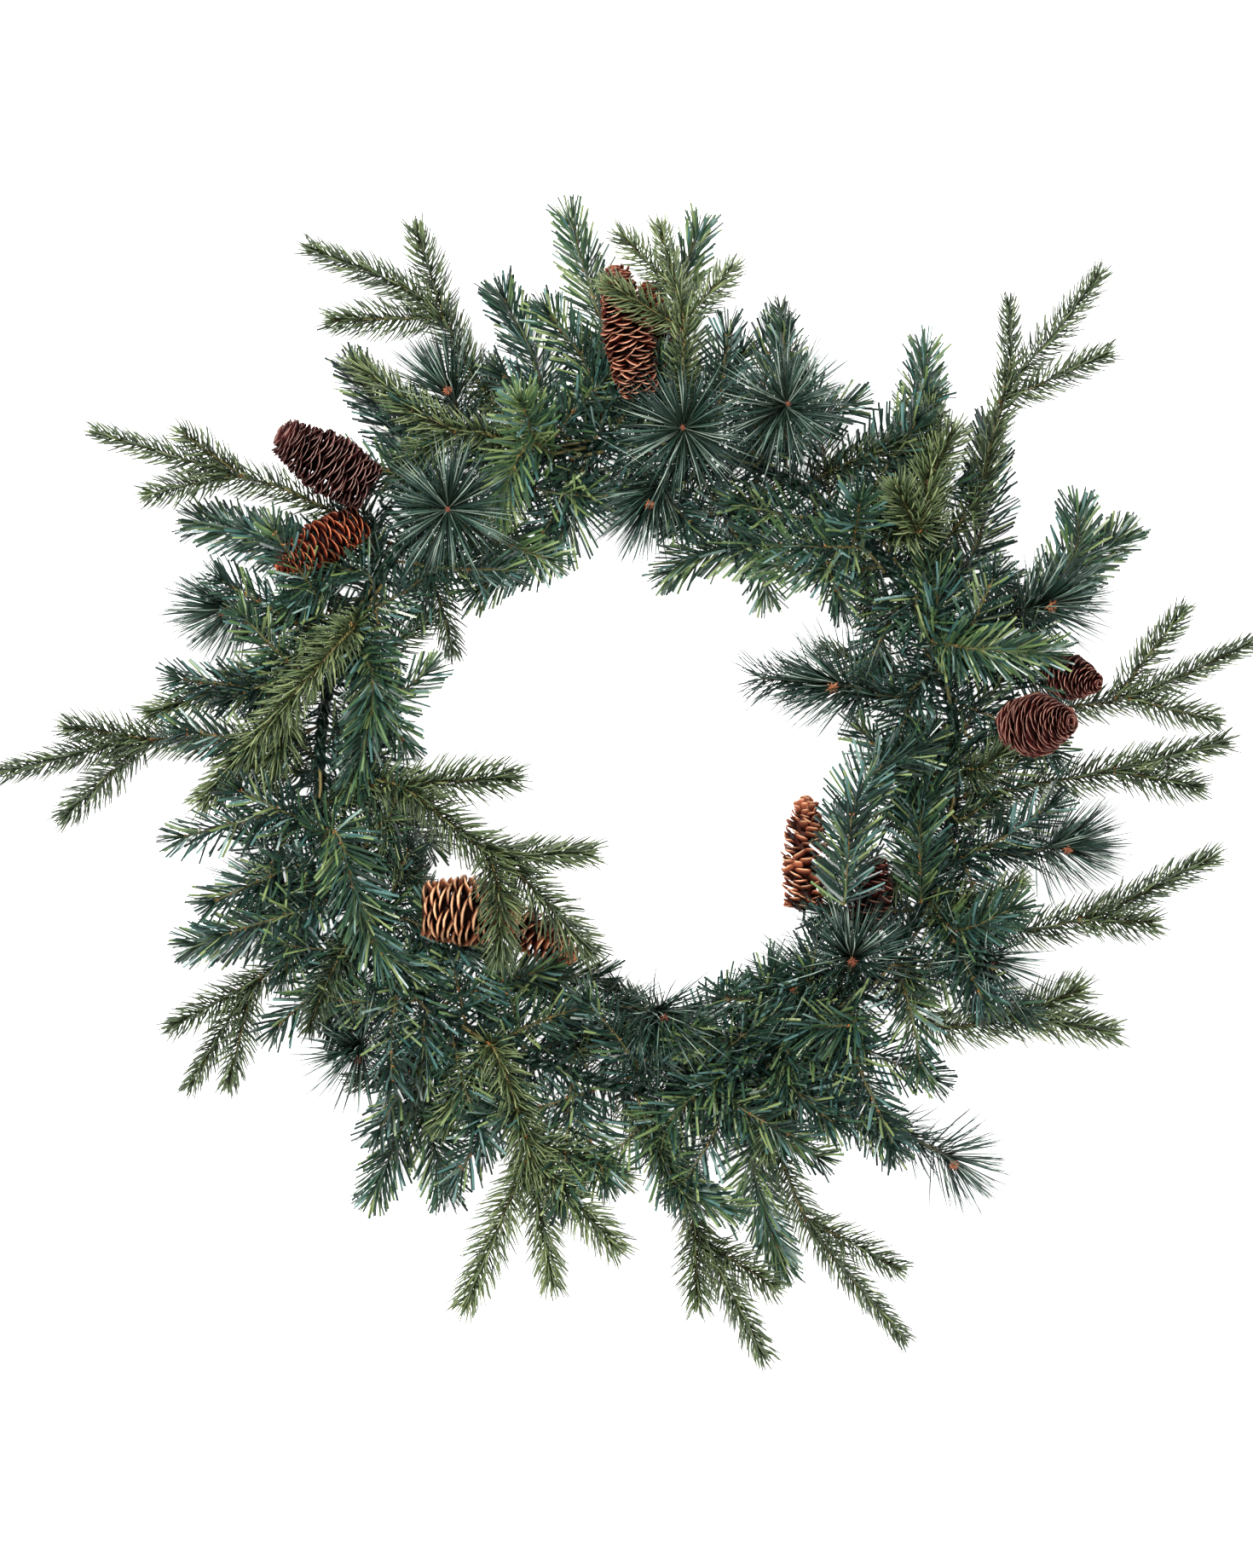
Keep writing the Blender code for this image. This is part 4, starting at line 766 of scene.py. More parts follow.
def turns_for(rays, lean_to, sizes, twists):
    """One turn for each copy: its length along the ray, its x side towards lean_to."""
    rays = unit(rays)
    x = unit(lean_to - rays * np.sum(lean_to * rays, axis=1, keepdims=True))
    y = np.cross(rays, x)
    turned = x * np.cos(twists)[:, None] + y * np.sin(twists)[:, None]
    columns = np.stack([turned, np.cross(rays, turned), rays], axis=2)
    return columns * sizes[:, None, :]


def off_the_floor(spots, rays, lengths):
    """Bends a ray up so that its tip stays above the floor."""
    low = spots[:, 2] + rays[:, 2] * lengths < LOWEST_TIP
    rays = rays.copy()
    rays[low, 2] = (LOWEST_TIP - spots[low, 2]) / lengths[low]
    return unit(rays)


def set_round(bunch, shape, route, distances, leans, scales, tones, finish, luck,
              twist, smooth=True, upright=0.0, facing=None):
    """Plants one copy at each distance along a stem, all round it."""
    count = len(distances)
    spots, along = read_route(route, distances)
    along = unit(along * (1.0 - upright) + np.array([[0.0, 0.0, upright]]))
    if facing:
        along = unit(same(facing, count))
    clocks = (np.arange(count) * GOLDEN + luck.uniform(0, 2 * np.pi)
              + luck.normal(0, CLOCK_SPREAD, count))
    rays = off_the_floor(spots, rays_round(along, clocks, np.radians(leans)), shape[3] * scales)
    sizes = np.stack([np.ones(count), np.ones(count), scales], axis=1)
    turns = turns_for(rays, along, sizes, luck.normal(0, twist, count))
    bunch.plant(shape, turns, spots, tones, finish, smooth)


def tuft(bunch, shape, spot, along, count, spread, scale, tone, finish, luck):
    """A tight tuft of copies that point along a direction."""
    spots, ways = same(spot, count), same(along, count)
    clocks = np.arange(count) * GOLDEN + luck.uniform(0, 6)
    leans = np.radians(spread) * np.sqrt((np.arange(count) + 0.5) / count)
    rays = off_the_floor(spots, rays_round(ways, clocks, leans), np.full(count, shape[3] * scale))
    sizes = np.full((count, 3), scale) * luck.uniform(0.85, 1.15, (count, 1))
    turns = turns_for(rays, unit(ways + 1e-3), sizes, luck.uniform(0, 6, count))
    bunch.plant(shape, turns, spots, shades(luck, tone, 0.1, count), finish)


# %% [markdown]
# ### Stems
#
# A stem is a curve with a round bevel that is turned to a mesh, which is how a wire or a twig is
# made quickest. Its radius falls towards its tip. Every sprig starts the same way: its own seed
# for its random numbers, a bunch, the routes of its arms and shoots, and their stems.

# %% Sweeping a stem
STEM_SPACING = 8.0


def sweep(lines, resolution=1):
    """Round stems through lines of (points, radii), as points, triangles and reach."""
    curve = bpy.data.curves.new("stem", "CURVE")
    curve.dimensions, curve.bevel_depth = "3D", 1.0
    curve.bevel_resolution, curve.use_fill_caps = resolution, True
    for points, radii in lines:
        spline = curve.splines.new("POLY")
        spline.points.add(len(points) - 1)
        for mark, place, radius in zip(spline.points, points, radii):
            mark.co, mark.radius = (*place, 1.0), radius
    stem = bpy.data.objects.new("stem", curve)
    bpy.context.scene.collection.objects.link(stem)
    bpy.context.view_layer.objects.active = stem
    stem.select_set(True)
    bpy.ops.object.convert(target="MESH")
    bpy.ops.object.mode_set(mode="EDIT")
    bpy.ops.mesh.select_all(action="SELECT")
    bpy.ops.mesh.remove_doubles(threshold=0.001)
    points, faces = read_triangles(stem)
    return points, faces, np.ones(len(points))


def stem_line(route, start_radius, end_radius):
    """One stem's line for the sweep; it never dips below its own radius over the floor."""
    count = max(3, int(route.length / STEM_SPACING))
    points, _ = read_route(route, np.linspace(0.0, route.length, count))
    radii = np.linspace(start_radius, end_radius, count)
    points[:, 2] = np.maximum(points[:, 2], radii + FLOOR_GAP)
    return points, radii


def start_sprig(row, finish, bark_tone, root_radius, main_radii, side_radii, more=()):
    """A sprig's luck, its bunch with the stems in it, and the routes of its arms and shoots."""
    name, angle, clock, lift, *arms = row
    bunch = Bunch(finish, *more, twig_brown)
    mains, sides = stems_of(angle, clock, lift, root_radius, arms)
    lines = [stem_line(m, *main_radii) for m in mains] + [stem_line(s, *side_radii) for s in sides]
    bunch.put(*sweep(lines), bark_tone, twig_brown)
    return np.random.default_rng(sum(map(ord, name))), bunch, mains, sides


# %% [markdown]
# ## Spruce sprigs
#
# A moulded spruce tip is a plume about 38 mm wide: needles on all sides, leaning well off the
# twig near its start and half along it at its tip. A needle every 0.6 mm fills it. The twig
# carries orange brown spots where it forks, and a few bud scales at its end. The sprigs in the
# front and on the rim are fuller than the rest. Each sprig's tone is also shifted as painted light
# and shade: lighter in the front and on the rim, darker low down and behind.

# %% Spruce sprigs
SPRUCE_STEP = 0.6
SPRUCE_BARE, SIDE_BARE = 12.0, 2.0
SPRUCE_LEAN, SPRUCE_CLOSES = 66.0, 24.0
SPRUCE_PAINTED_LIGHT = {
    "left_front": 0.2, "upper_left": 0.2, "top": 0.2, "right_front": 0.16, "bottom": 0.08,
    "bottom_left": 0.22, "right_low": 0.1, "inner_left": 0.06, "left_middle": -0.05,
    "top_right_small": -0.25,
}
SPRUCE_FULLER = {
    "left_front": 1.25, "upper_left": 1.15, "right_front": 1.3, "bottom": 1.15,
    "bottom_left": 1.25, "right_low": 1.3, "right_lower": 1.15, "right_middle": 1.15,
    "inner_left": 1.3, "left_middle": 1.1, "top_left": 1.1,
}


def spaced(route, bare, step, most, luck):
    """Distances along a stem at even steps, each off by up to most, and its share of the way."""
    distances = np.arange(bare, route.length - 0.5, step)
    distances = distances + luck.uniform(0.0, most, len(distances))
    return distances, np.clip((distances - bare) / max(route.length - bare, 1.0), 0.0, 1.0)


def clothe_spruce(bunch, route, bare, tone, luck, fuller=1.0):
    distances, share = spaced(route, bare, SPRUCE_STEP / fuller, 0.5, luck)
    count = len(share)
    leans = SPRUCE_LEAN - SPRUCE_CLOSES * share**1.8 + luck.normal(0, 5, count)
    scales = 0.74 + 0.34 * np.sin(np.pi * (share * 0.8 + 0.12))
    scales = fuller * scales * luck.uniform(0.9, 1.1, count)
    set_round(bunch, SPRUCE_NEEDLE, route, distances, leans, scales,
              shades(luck, 0.42 + tone, 0.17, count), spruce_green, luck, twist=0.3)
    tip, along = route.point(route.length - 1.0), route.along(route.length)
    tuft(bunch, SPRUCE_NEEDLE, tip, along, 9, 26, 0.62, 0.6 + tone, spruce_green, luck)
    tuft(bunch, BUD_SCALE, tip, along, 4, 20, 0.6, 0.5, twig_brown, luck)


def grow_spruce(name, row):
    kind = name.removeprefix("spruce_")
    # This sprig's tone shift is painted light and shade: lighter in front, darker low down
    tone, fuller = SPRUCE_PAINTED_LIGHT.get(kind, 0.0), SPRUCE_FULLER.get(kind, 1.0)
    luck, bunch, mains, sides = start_sprig(row, spruce_green, 0.4, 1.8, (1.7, 0.7), (1.1, 0.6))
    for main in mains:
        clothe_spruce(bunch, main, ROOT_LENGTH + SPRUCE_BARE, tone, luck, fuller)
    for side in sides:
        clothe_spruce(bunch, side, SIDE_BARE, tone, luck, fuller)
        tuft(bunch, BUD_SCALE, side.point(0.0), side.along(0.0), 6, 80, 0.8, 1.0, twig_brown, luck)
    bunch.make(name + "_needles", name, "spruce")


# %% [markdown]
# ## Foil pine sprigs
#
# Strips stand out from the twisted stem on every side like a bottle brush, up to 70 mm across,
# and lean on towards its tip, with blunt ends. Most are green; one in seven is lime and one in
# six blue green, as the second and third foil show. Two sprigs on the right are combed back
# towards their roots, as the picture shows them.

# %% Foil pine sprigs
STRIP_STEP = 0.5
FOIL_BARE, BARK_SPACING = 12.0, 13.0
FOIL_LEAN, FOIL_CLOSES = 62.0, 28.0
FOIL_MIDDLE, GREEN_TOP = 0.36, 0.66
LIME_SHARE, BLUE_SHARE = 0.13, 0.17
LIME_TONES, BLUE_TONES = (0.66, 0.78), (0.82, 0.97)
COMBED_BACK = ("over_cone", "inner_right")
FOIL_STEPS = {"top": 0.6}
# Each sprig's tone shift: partly its own foil mix, partly painted light and shade, lighter in
# front and darker where it sits low
FOIL_TONES_AND_PAINTED_LIGHT = {
    "top": 0.16, "over_cone": -0.1, "inner_right": 0.04, "bright_front": 0.2,
    "right_bright": 0.12, "inner_left": 0.06, "bottom": 0.1, "right_dark": -0.28,
    "top_left_dark": -0.28, "olive": -0.1, "top_middle": -0.12, "lower_left": -0.05,
}


def foil_tones(count, tone, luck):
    """A tone for each strip: mostly green, with shares of the lime and the blue green foil."""
    tones = np.clip(FOIL_MIDDLE + tone + luck.normal(0, 0.14, count), 0, GREEN_TOP)
    pick = luck.uniform(0, 1, count)
    # A sprig shifted lighter, partly as painted light, also gets more lime strips
    lime = LIME_SHARE + 0.6 * max(tone, 0.0)
    tones = np.where(pick < lime, luck.uniform(*LIME_TONES, count), tones)
    return np.where(pick > 1.0 - BLUE_SHARE, luck.uniform(*BLUE_TONES, count), tones)


def clothe_foil(bunch, route, bare, tone, luck, step=STRIP_STEP, size=1.0):
    distances, share = spaced(route, bare, step, 0.4, luck)
    count = len(share)
    leans = FOIL_LEAN - FOIL_CLOSES * share**1.5 + luck.normal(0, 5, count)
    scales = size * (1.0 - 0.25 * share**3) * luck.uniform(0.82, 1.06, count)
    set_round(bunch, FOIL_STRIP, route, distances, leans, scales, foil_tones(count, tone, luck),
              foil_green, luck, twist=0.6, smooth=False)
    tip, along = route.point(route.length - 2.0), route.along(route.length)
    tuft(bunch, FOIL_STRIP, tip, along, 16, 38, 0.6, 0.45 + tone, foil_green, luck)
    for mark in np.arange(bare, route.length, BARK_SPACING):
        tuft(bunch, BUD_SCALE, route.point(mark), route.along(mark), 3, 70, 0.75,
             luck.uniform(0.5, 1.0), twig_brown, luck)


def grow_foil(name, row):
    kind = name.removeprefix("foil_pine_")
    tone, step = FOIL_TONES_AND_PAINTED_LIGHT.get(kind, 0.0), FOIL_STEPS.get(kind, STRIP_STEP)
    luck, bunch, mains, sides = start_sprig(row, foil_green, 0.25, 1.8, (1.7, 1.1), (1.3, 1.0))
    for main in mains:
        bare = ROOT_LENGTH + FOIL_BARE
        if kind in COMBED_BACK:
            main, bare = Route(main.line[main.travel > bare][::-1]), 0.0
        clothe_foil(bunch, main, bare, tone, luck, step)
    for side in sides:
        clothe_foil(bunch, side, SIDE_BARE, tone, luck, step)
    bunch.make(name + "_strips", name, "foil_pine")


# %% [markdown]
# ## Long needled sprigs
#
# Each ends in a burst of long straight needles round a red brown bud, and below it shorter
# needles lie along the stem. Bursts that face up show as a full star. The other buds stand on a
# short shoot of their own, which lifts them over the needles as the picture shows.

# %% Long needled sprigs
WHORL_LENGTH, LONG_BARE, SHORTEST_STEM = 31.0, 8.0, 24.0
WHORL_NEEDLES, STEM_NEEDLE_STEP = 230, 0.55
FACES_UP, STAR_UPRIGHT = 0.6, 0.6
PAINTED_HIGHLIGHT_SHARE, PAINTED_HIGHLIGHT_TONES = 0.24, (0.7, 1.0)
BUD_SHOOT, BUD_WAY = Vector((0.0, -4.0, 14.0)), Vector((0.2, -0.3, 0.9))
# How far behind its tip an arm's burst stands, and the sprig with fewer needles
BUD_BACK = {"inner_right": 62.0, "right_upper": 20.0}
LONG_THINNER = {"bottom_right": 0.5}
# The way that the bursts of side shoots face
STAR_FACES = {"low_right": (0.12, 0.78, 0.6), "bottom": (0.5, -0.45, 0.72)}
# Arms whose burst stands up over the foil round it: a sprig, the number of the arm, and its way
RAISED = {
    ("lower_left", 0): (-0.1, -0.1, 0.95), ("lower_left", 1): (-0.15, 0.2, 0.95),
    ("right_lower", 1): (0.1, -0.35, 0.9),
}


def burst_leans(share, star, facing):
    """How far the needles of a burst lean: least at its tip."""
    if facing:
        return 70.0 - 52.0 * share**1.2
    return 96.0 - 40.0 * share**1.5 if star else 86.0 - 66.0 * share**1.3


def set_bud(bunch, tip, along, star, facing, back, luck):
    """The bud of a burst: in the middle of a star, and on a short shoot elsewhere."""
    if facing or back or not star:
        shoot = [tip, tip + BUD_SHOOT]
        bunch.put(*sweep([(shoot, [1.4, 1.2])]), 0.1, twig_brown)
        tip, along = shoot[1], BUD_WAY
    size = 0.65 if star and not facing else 1.25 if back else 1.0
    tone = 0.85 if back else 0.3 if star else 0.65
    tuft(bunch, BUD_SCALE, tip, along, 16, 80, size, tone, bud_red, luck)


def clothe_long(bunch, route, bare, luck, back=0.0, facing=None, thinner=1.0):
    finish = max(route.length - back, bare + SHORTEST_STEM)
    start = max(bare + 4.0, finish - WHORL_LENGTH)
    star = facing or route.along(route.length).z > FACES_UP
    count = int(WHORL_NEEDLES * thinner * (0.85 if facing else 1.0))
    distances = start + (finish - start) * luck.uniform(0, 1, count) ** (0.3 if star else 0.5)
    share = luck.uniform(0, 1, count) if star else (distances - start) / (finish - start)
    leans = burst_leans(share, star, facing) + luck.normal(0, 12 if star else 8, count)
    scales = luck.uniform(0.74 if star else 0.82, 1.14, count) * (1.04 if star else 0.92)
    tones = shades(luck, 0.36, 0.16, count)
    # Painted highlights: about a quarter of the burst's needles are painted pale
    highlight_needles = luck.uniform(0, 1, count) < PAINTED_HIGHLIGHT_SHARE
    tones = np.where(highlight_needles, luck.uniform(*PAINTED_HIGHLIGHT_TONES, count), tones)
    set_round(bunch, LONG_NEEDLE, route, distances, leans, scales, tones, long_green, luck,
              twist=1.5, upright=STAR_UPRIGHT if star else 0.0, facing=facing)
    set_bud(bunch, route.point(finish), route.along(finish), star, facing, back, luck)
    lower = np.concatenate([np.arange(bare, start, STEM_NEEDLE_STEP),
                            np.arange(finish + 4.0, route.length, STEM_NEEDLE_STEP)])
    if len(lower):
        leans = 44.0 + luck.normal(0, 9, len(lower))
        set_round(bunch, LONG_NEEDLE, route, lower, leans, luck.uniform(0.4, 0.75, len(lower)),
                  shades(luck, 0.34, 0.2, len(lower)), long_green, luck, twist=1.5)


def grow_long(name, row):
    kind = name.removeprefix("long_pine_")
    luck, bunch, mains, sides = start_sprig(row, long_green, 0.1, 1.9, (1.8, 1.6), (1.4, 1.2),
                                            (bud_red,))
    for k, main in enumerate(mains):
        clothe_long(bunch, main, ROOT_LENGTH + LONG_BARE, luck, BUD_BACK.get(kind, 0.0),
                    RAISED.get((kind, k)), LONG_THINNER.get(kind, 1.0))
    for side in sides:
        clothe_long(bunch, side, SIDE_BARE, luck, facing=STAR_FACES.get(kind))
    bunch.make(name + "_needles", name, "long_pine")


# %% [markdown]
# ## All sprigs, one after the other

# %% Grow the sprigs
GROWERS = {"spruce": grow_spruce, "foil_pine": grow_foil, "long_pine": grow_long}
for row in SPRIGS:
    kind = next(k for k in GROWERS if row[0].startswith(k))
    GROWERS[kind](row[0], row)

# %% [markdown]
# ## Cones
#
# The scales stand on a spiral, again by the golden angle, and lean out at the base and forwards
# at the tip. Each is the modelled scale, stretched to the cone's own radius at that height. A
# body fills the cone behind them, painted dark as shade, on the wire stalk that runs back to the
# core.

# %% Cones
CONE_SCALES = {
    # name: (wood, scales, lean, width, thickness, curl, taper, ragged)
    "cone_left_large": ("deep_red", 250, 86, 0.92, 1.0, 0.05, 1.0, 1.5),
    "cone_left_slim": ("rust", 130, 106, 1.05, 1.1, 0.05, 1.1, 1.6),
    "cone_inner_large": ("tan", 128, 88, 0.9, 3.0, 0.00, 1.0, 1.5),
    "cone_inner_small": ("orange", 120, 62, 0.7, 2.2, 0.00, 1.5, 2.2),
    "cone_lower_right_open": ("orange", 170, 70, 0.62, 1.3, -0.16, 1.2, 2.8),
    "cone_lower_right_dark": ("wine", 100, 66, 0.8, 1.5, 0.00, 1.5, 1.4),
    "cone_right_large": ("wine", 210, 66, 0.92, 0.8, 0.07, 1.5, 1.3),
    "cone_right_dark": ("wine", 140, 70, 0.9, 0.9, 0.04, 1.5, 1.3),
    "cone_top_long": ("brown", 290, 92, 0.78, 1.4, 0.03, 1.0, 2.4),
    "cone_top_back": ("rust", 130, 70, 0.85, 1.6, 0.00, 1.3, 1.8),
}
STALK_RADIUS, STALK_SEAT, STALK_END = 1.6, 2.2, 10.0
BODY_RINGS, BODY_SHARE, CROWD_STEPS = 12, 0.5, 200


def cone_width(share, radius, taper):
    """The cone's outline: full near the base, widest below its middle, blunt at the tip."""
    swell = np.sin(np.pi / 2 * np.minimum((share + 0.2) / 0.8, 1.0))
    return radius * (0.55 + 0.45 * swell - taper * np.maximum(share - 0.40, 0.0) ** 1.5)


def cone_body(bunch, finish, base, axis, radius, taper):
    """The body behind the scales, dark with the painted shade of their roots."""
    shares = np.linspace(0.0, 1.0, BODY_RINGS)
    line = [tuple(base + axis * float(s)) for s in shares]
    widths = cone_width(shares, radius, taper) * BODY_SHARE
    points, faces, _ = sweep([(line, widths)], resolution=3)
    # Painted shade: the body takes the colour at reach 0.4, near the scales' dark roots
    bunch.put(points, faces, np.full(len(points), 0.4), 0.3, finish)


def scale_shape(radius, wide, thick, curl):
    """The modelled scale, cupped round the cone and curled at its end."""
    points, faces, reach, length = CONE_SCALE
    points = points.copy()
    cup = (wide * radius) ** 2 / (8.0 * radius)
    points[:, 1] -= 4.0 * cup / thick * points[:, 0] ** 2
    points[:, 1] += curl * radius / thick * points[:, 2] ** 2
    return points, faces, reach, length


def build_cone(name, angle, clock, base, tip, radius, past):
    luck = np.random.default_rng(sum(map(ord, name)))
    wood, count, lean, wide, thick, curl, taper, ragged = CONE_SCALES[name]
    bunch = Bunch(WOODS[wood], wire_green)
    base = Vector(base)
    axis = Vector(tip) - base
    along = axis.normalized()
    [stalk] = leave_core(angle, clock, STALK_SEAT, [past])
    stalk = Route(stalk + [Vector(past), base - along * STALK_END, base])
    bunch.put(*sweep([stem_line(stalk, STALK_RADIUS, STALK_RADIUS)]), 0.5, wire_green)
    cone_body(bunch, WOODS[wood], base, axis, radius, taper)

    # Places along the axis, closer together where the cone is narrow
    ways_up = np.linspace(0.0, 1.0, CROWD_STEPS)
    crowd = np.cumsum(cone_width(ways_up, radius, taper) ** -1.0)
    share = np.interp((np.arange(count) + 0.5) / count, crowd / crowd[-1], ways_up)
    reach_out = cone_width(share, radius + 2.0, taper)

    # Each scale's direction, length and root
    leans = lean + (92.0 - lean) * (1 - share) ** 6 - (lean - 4.0) * share**8
    leans = np.radians(leans + ragged * luck.normal(0, 4.0, count))
    ways = same(along, count)
    clocks = np.arange(count) * GOLDEN + ragged * luck.normal(0, 0.06, count)
    out = rays_round(ways, clocks, np.full(count, np.pi / 2))
    up_part, out_part = np.cos(leans)[:, None], np.sin(leans)[:, None]
    rays = unit(ways * up_part + out * out_part)
    root = reach_out * (0.42 - 0.3 * share**5)
    lengths = np.minimum((reach_out - root) / np.maximum(np.sin(leans), 0.45), radius * 0.95)
    lengths = lengths * (1.0 - ragged * luck.uniform(0.0, 0.1, count))
    slide = share * axis.length - np.cos(leans) * lengths * 0.75
    spots = np.array(base) + ways * slide[:, None] + out * root[:, None]

    # Its sides and its outer face, rolled a little, and its size
    face_out = unit(out * up_part - ways * out_part)
    sides = np.cross(face_out, rays)
    rolls = ragged * luck.normal(0, 0.1, count)[:, None]
    sides, face_out = (sides * np.cos(rolls) + face_out * np.sin(rolls),
                       face_out * np.cos(rolls) - sides * np.sin(rolls))
    widths = wide * reach_out * luck.uniform(0.86, 1.1, count)
    thicks = thick * (0.6 + 0.4 * reach_out / radius) * luck.uniform(0.8, 1.15, count)
    sizes = np.stack([widths, thicks, lengths], axis=1)
    turns = np.stack([sides, face_out, rays], axis=2) * sizes[:, None, :]
    bunch.plant(scale_shape(radius, wide, thick, curl), turns, spots,
                luck.uniform(0.1, 0.9, count), WOODS[wood])
    bunch.make(name + "_scales", name, "cone")


for row in CONES:
    build_cone(*row)


# %% [markdown]
# ## Core and tie
#
# The core is two foil wound strands twisted together, with a dark fringe on all sides, shorter
# than the sprigs' strips. The tie is soft wire, wound twice round the overlapping ends.

# %% Wound core
STRAND_RADIUS, STRAND_OFFSET, STRAND_PITCH, STRAND_POINTS = 3.2, 3.1, 24.0, 9
FRINGE_STEP, FRINGE_LEAN = 0.6, 76.0
core_route = Route(CORE_CORNERS)
marks = np.arange(0.0, core_route.length, STRAND_PITCH / STRAND_POINTS)
spots, ways = read_route(core_route, marks)
strands = []
for start in (0.0, math.pi):
    clocks = start + marks / STRAND_PITCH * 2 * np.pi
    strand = spots + rays_round(ways, clocks, np.full(len(marks), np.pi / 2)) * STRAND_OFFSET
    strands.append((strand, np.full(len(marks), STRAND_RADIUS)))

luck = np.random.default_rng(7)
bunch = Bunch(core_foil, wire_green)
bunch.put(*sweep(strands), 0.4, wire_green)
distances = np.arange(1.0, core_route.length - 1.0, FRINGE_STEP)
count = len(distances)
set_round(bunch, FOIL_STRIP, core_route, distances, FRINGE_LEAN + luck.normal(0, 14, count),
          luck.uniform(0.75, 1.1, count), shades(luck, 0.45, 0.25, count), core_foil, luck,
          twist=0.8, smooth=False)
bunch.make("core_wire_fringe", "core_wire", "core_foil")

# %% [markdown]
# Short tips are wound into the core all along it, every 15 mm, turn and turn about to each side
# and a little upwards. They make the ring's body, about 200 mm wide, that the sprigs stand out
# of. Four in five are foil and the rest is moulded spruce. A few more stand where the picture
# shows the body fuller. The foil ones are shared between three pieces, to keep each one light.

# %% Short tips of the core
TIP_COUNT, TIP_LENGTH, TIP_STRIP_STEP, TIP_SIZE = 126, 108.0, 0.9, 0.92
TIP_PIECES, EXTRA_TONE = 3, -0.12
# More tips: their place round the core in degrees, their length, how far they lean along the
# core, and how steeply they rise, in degrees
EXTRA_TIPS = (
    (62, 136.0, 30, 20), (69, 120.0, 12, 8), (54, 132.0, -8, 14), (48, 120.0, 10, 30),
    (76, 112.0, 8, 26), (300, 126.0, 10, 10), (308, 132.0, -14, 18), (324, 124.0, 10, 8),
    (258, 118.0, 8, 20), (250, 122.0, -12, 10), (232, 118.0, 10, 8), (196, 116.0, 8, 14),
    (147, 118.0, 8, 12), (159, 124.0, -8, 20), (168, 130.0, 6, 10), (178, 132.0, -6, 24),
    (187, 128.0, 8, 12), (205, 120.0, -8, 16), (214, 116.0, 8, 12),
)


def rising(way, degrees):
    """A level direction, turned upwards."""
    return way * math.cos(math.radians(degrees)) + UP * math.sin(math.radians(degrees))


def core_tip(k, luck):
    """The stem of one short tip."""
    place = (k + 0.5) / TIP_COUNT * core_route.length
    spot, along = core_route.point(place), core_route.along(place)
    side = Vector((along.y, -along.x, 0.0)).normalized() * (1 if k % 2 else -1)
    out = rising(side, luck.uniform(-12, 34))
    lean = math.radians(luck.uniform(34, 66))
    way = along * math.cos(lean) * (1 if k % 4 < 2 else -1) + out * math.sin(lean)
    length = TIP_LENGTH * luck.uniform(0.8, 1.1)
    middle = spot + way * length * 0.5 + out * length * 0.06
    return Route([spot + out * 3.0, middle, spot + way * length])


def extra_tip(angle, length, lean, rise):
    """The stem of one more tip, outwards from the core."""
    spot, way = core_point(angle), rising(direction_at(angle + lean), rise)
    return Route([spot + way * 8.0, spot + way * length * 0.5, spot + way * length])


def add_foil_tip(bunch, route, bare, tone, luck):
    bunch.put(*sweep([stem_line(route, 1.3, 1.0)]), 0.2, twig_brown)
    clothe_foil(bunch, route, bare, tone, luck, TIP_STRIP_STEP, TIP_SIZE)


foil_tips = [Bunch(foil_green, twig_brown) for _ in range(TIP_PIECES)]
spruce_tips = Bunch(spruce_green, twig_brown)
for k in range(TIP_COUNT):
    luck = np.random.default_rng(100 + k)
    route = core_tip(k, luck)
    tone = luck.normal(-0.08, 0.1)
    if k % 5 == 2:
        spruce_tips.put(*sweep([stem_line(route, 1.2, 0.7)]), 0.3, twig_brown)
        clothe_spruce(spruce_tips, route, 10.0, tone, luck)
    else:
        add_foil_tip(foil_tips[k * TIP_PIECES // TIP_COUNT], route, 8.0, tone, luck)
for k, row in enumerate(EXTRA_TIPS):
    luck = np.random.default_rng(300 + k)
    add_foil_tip(foil_tips[k % TIP_PIECES], extra_tip(*row), 12.0, EXTRA_TONE, luck)
for k, foil in enumerate(foil_tips, 1):
    foil.make(f"core_foil_tips_{k}", "core_wire", "foil_pine")
spruce_tips.make("core_spruce_tips", "core_wire", "spruce")

# %% Tie wire
TIE_ANGLE, TIE_RADIUS, TIE_GAP = 282.0, 0.8, 0.9
TIE_TURNS, TIE_PITCH, TIE_POINTS = 2, 3.4, 28


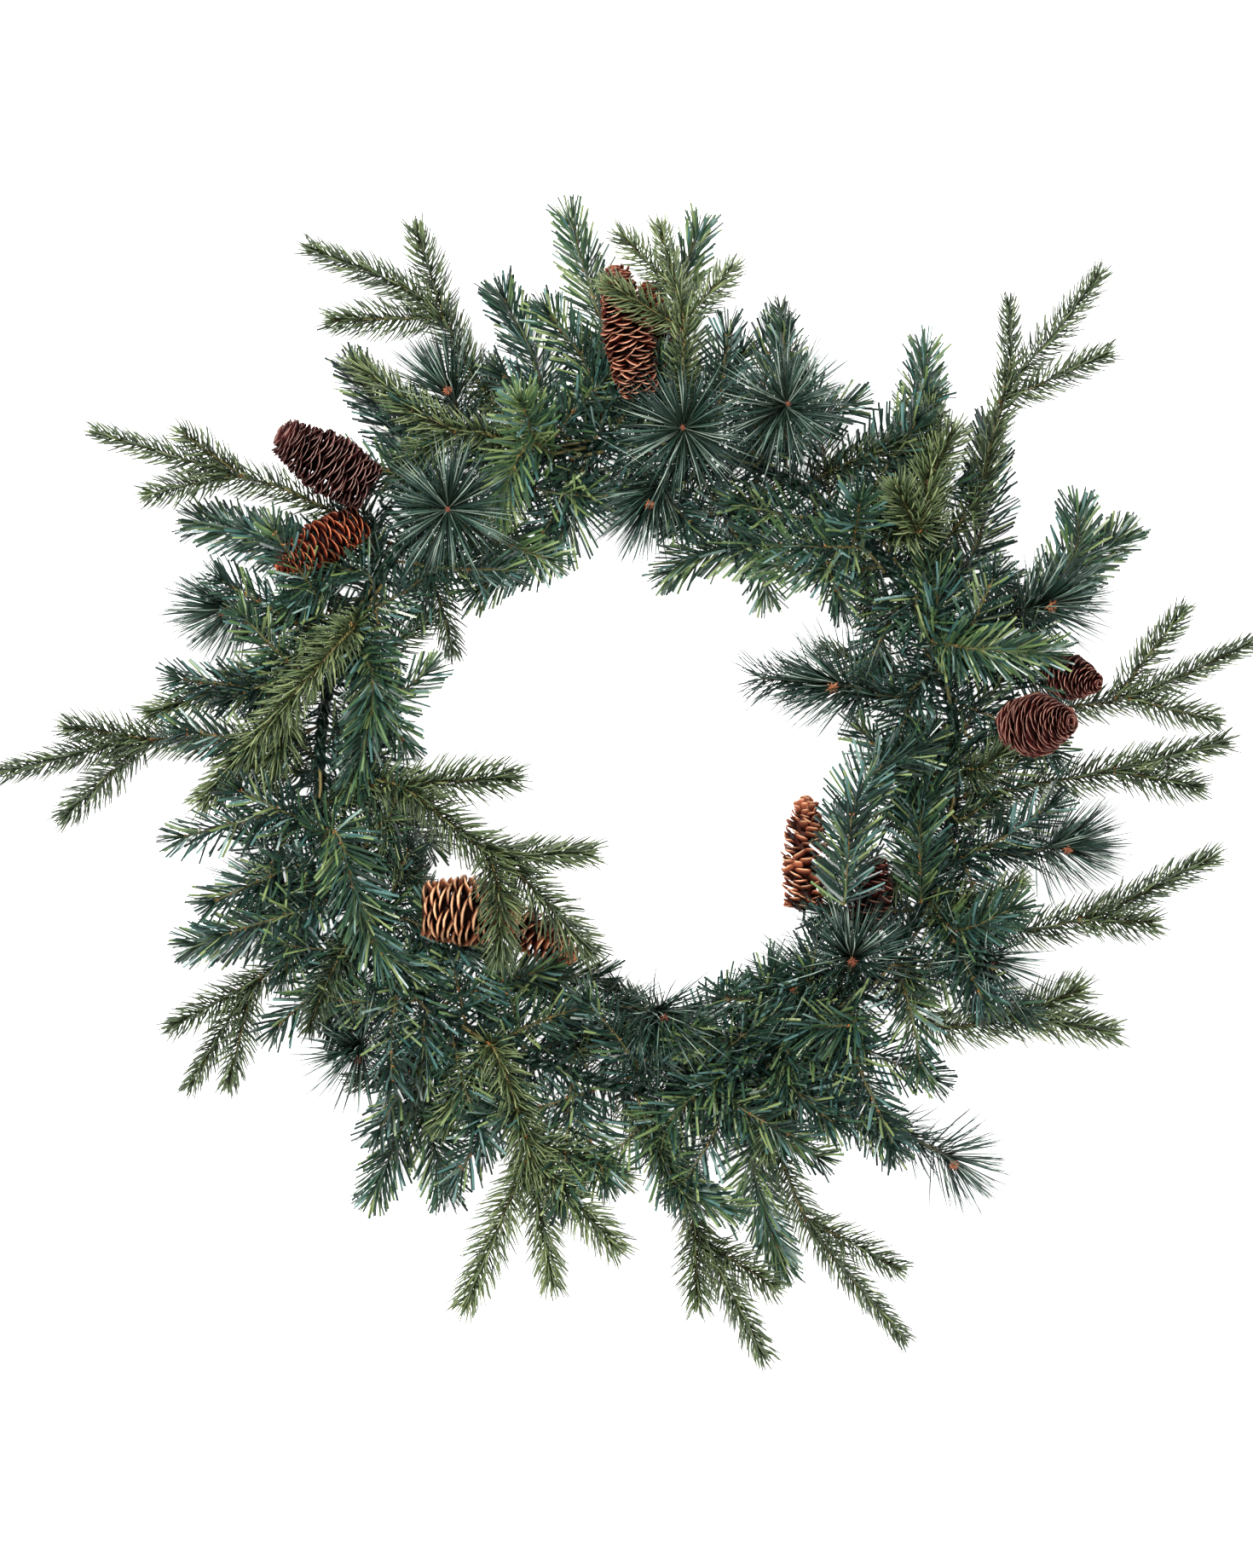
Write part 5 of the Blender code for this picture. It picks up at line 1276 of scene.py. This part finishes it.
def tie_line():
    """Turns of a slot shape round the two core ends, drawn out along them."""
    out = direction_at(TIE_ANGLE)
    along = Vector((-out.y, out.x, 0.0))
    inner = core_point(TIE_ANGLE)
    reach = CORE_RADIUS + TIE_GAP + TIE_RADIUS
    line = []
    for k in range(TIE_TURNS * TIE_POINTS + 1):
        turn = 2 * math.pi * k / TIE_POINTS + math.pi / TIE_POINTS
        centre = inner + out * OVERLAP_OFFSET * (0.5 + 0.5 * math.tanh(4.0 * math.cos(turn)))
        around = out * math.cos(turn) + UP * math.sin(turn)
        line.append(centre + around * reach + along * TIE_PITCH * (k / TIE_POINTS - TIE_TURNS / 2))
    return line


line = tie_line()
bunch = Bunch(wire_green)
bunch.put(*sweep([(line, np.full(len(line), TIE_RADIUS))]), 0.8, wire_green)
bunch.make("end_tie_wire", "end_tie", "tie_wire")

# %% [markdown]
# ## Floor and light
#
# A catalogue picture on pure white: a floor that glows a little keeps the shadows out of the
# gaps, one large soft light from the upper left gives the needles their shine, and the sky fills
# the rest. The colours are shown as they are, with no film curve.

# %% Floor, lights and colours
bpy.ops.mesh.primitive_plane_add(size=14.0, location=(0, 0, -0.0006))
floor = bpy.context.active_object
floor.name = "pale_floor"
paper, _, _ = new_finish("white_paper", {
    "Base Color": linear("#f4f4f4"), "Roughness": 0.9,
    "Emission Color": linear("#ffffff"), "Emission Strength": 0.9,
})
floor.data.materials.append(paper)

world = bpy.data.worlds.new("soft_sky")
world.use_nodes = True
sky = world.node_tree.nodes["Background"]
sky.inputs["Color"].default_value = (1.0, 1.0, 1.0, 1.0)
sky.inputs["Strength"].default_value = 0.5
bpy.context.scene.world = world


def soft_light(name, place, size, power):
    """A square soft box that looks at the middle of the garland."""
    data = bpy.data.lights.new(name, "AREA")
    data.size, data.energy = size, power
    lamp = bpy.data.objects.new(name, data)
    lamp.location = place
    lamp.rotation_euler = (-Vector(place)).to_track_quat("-Z", "Y").to_euler()
    bpy.context.scene.collection.objects.link(lamp)


soft_light("key_soft_box", (-0.9, 1.2, 2.4), 0.7, 100.0)
soft_light("fill_soft_box", (1.5, -1.3, 2.3), 0.8, 55.0)
bpy.context.scene.view_settings.view_transform = "Standard"
bpy.context.scene.view_settings.look = "None"
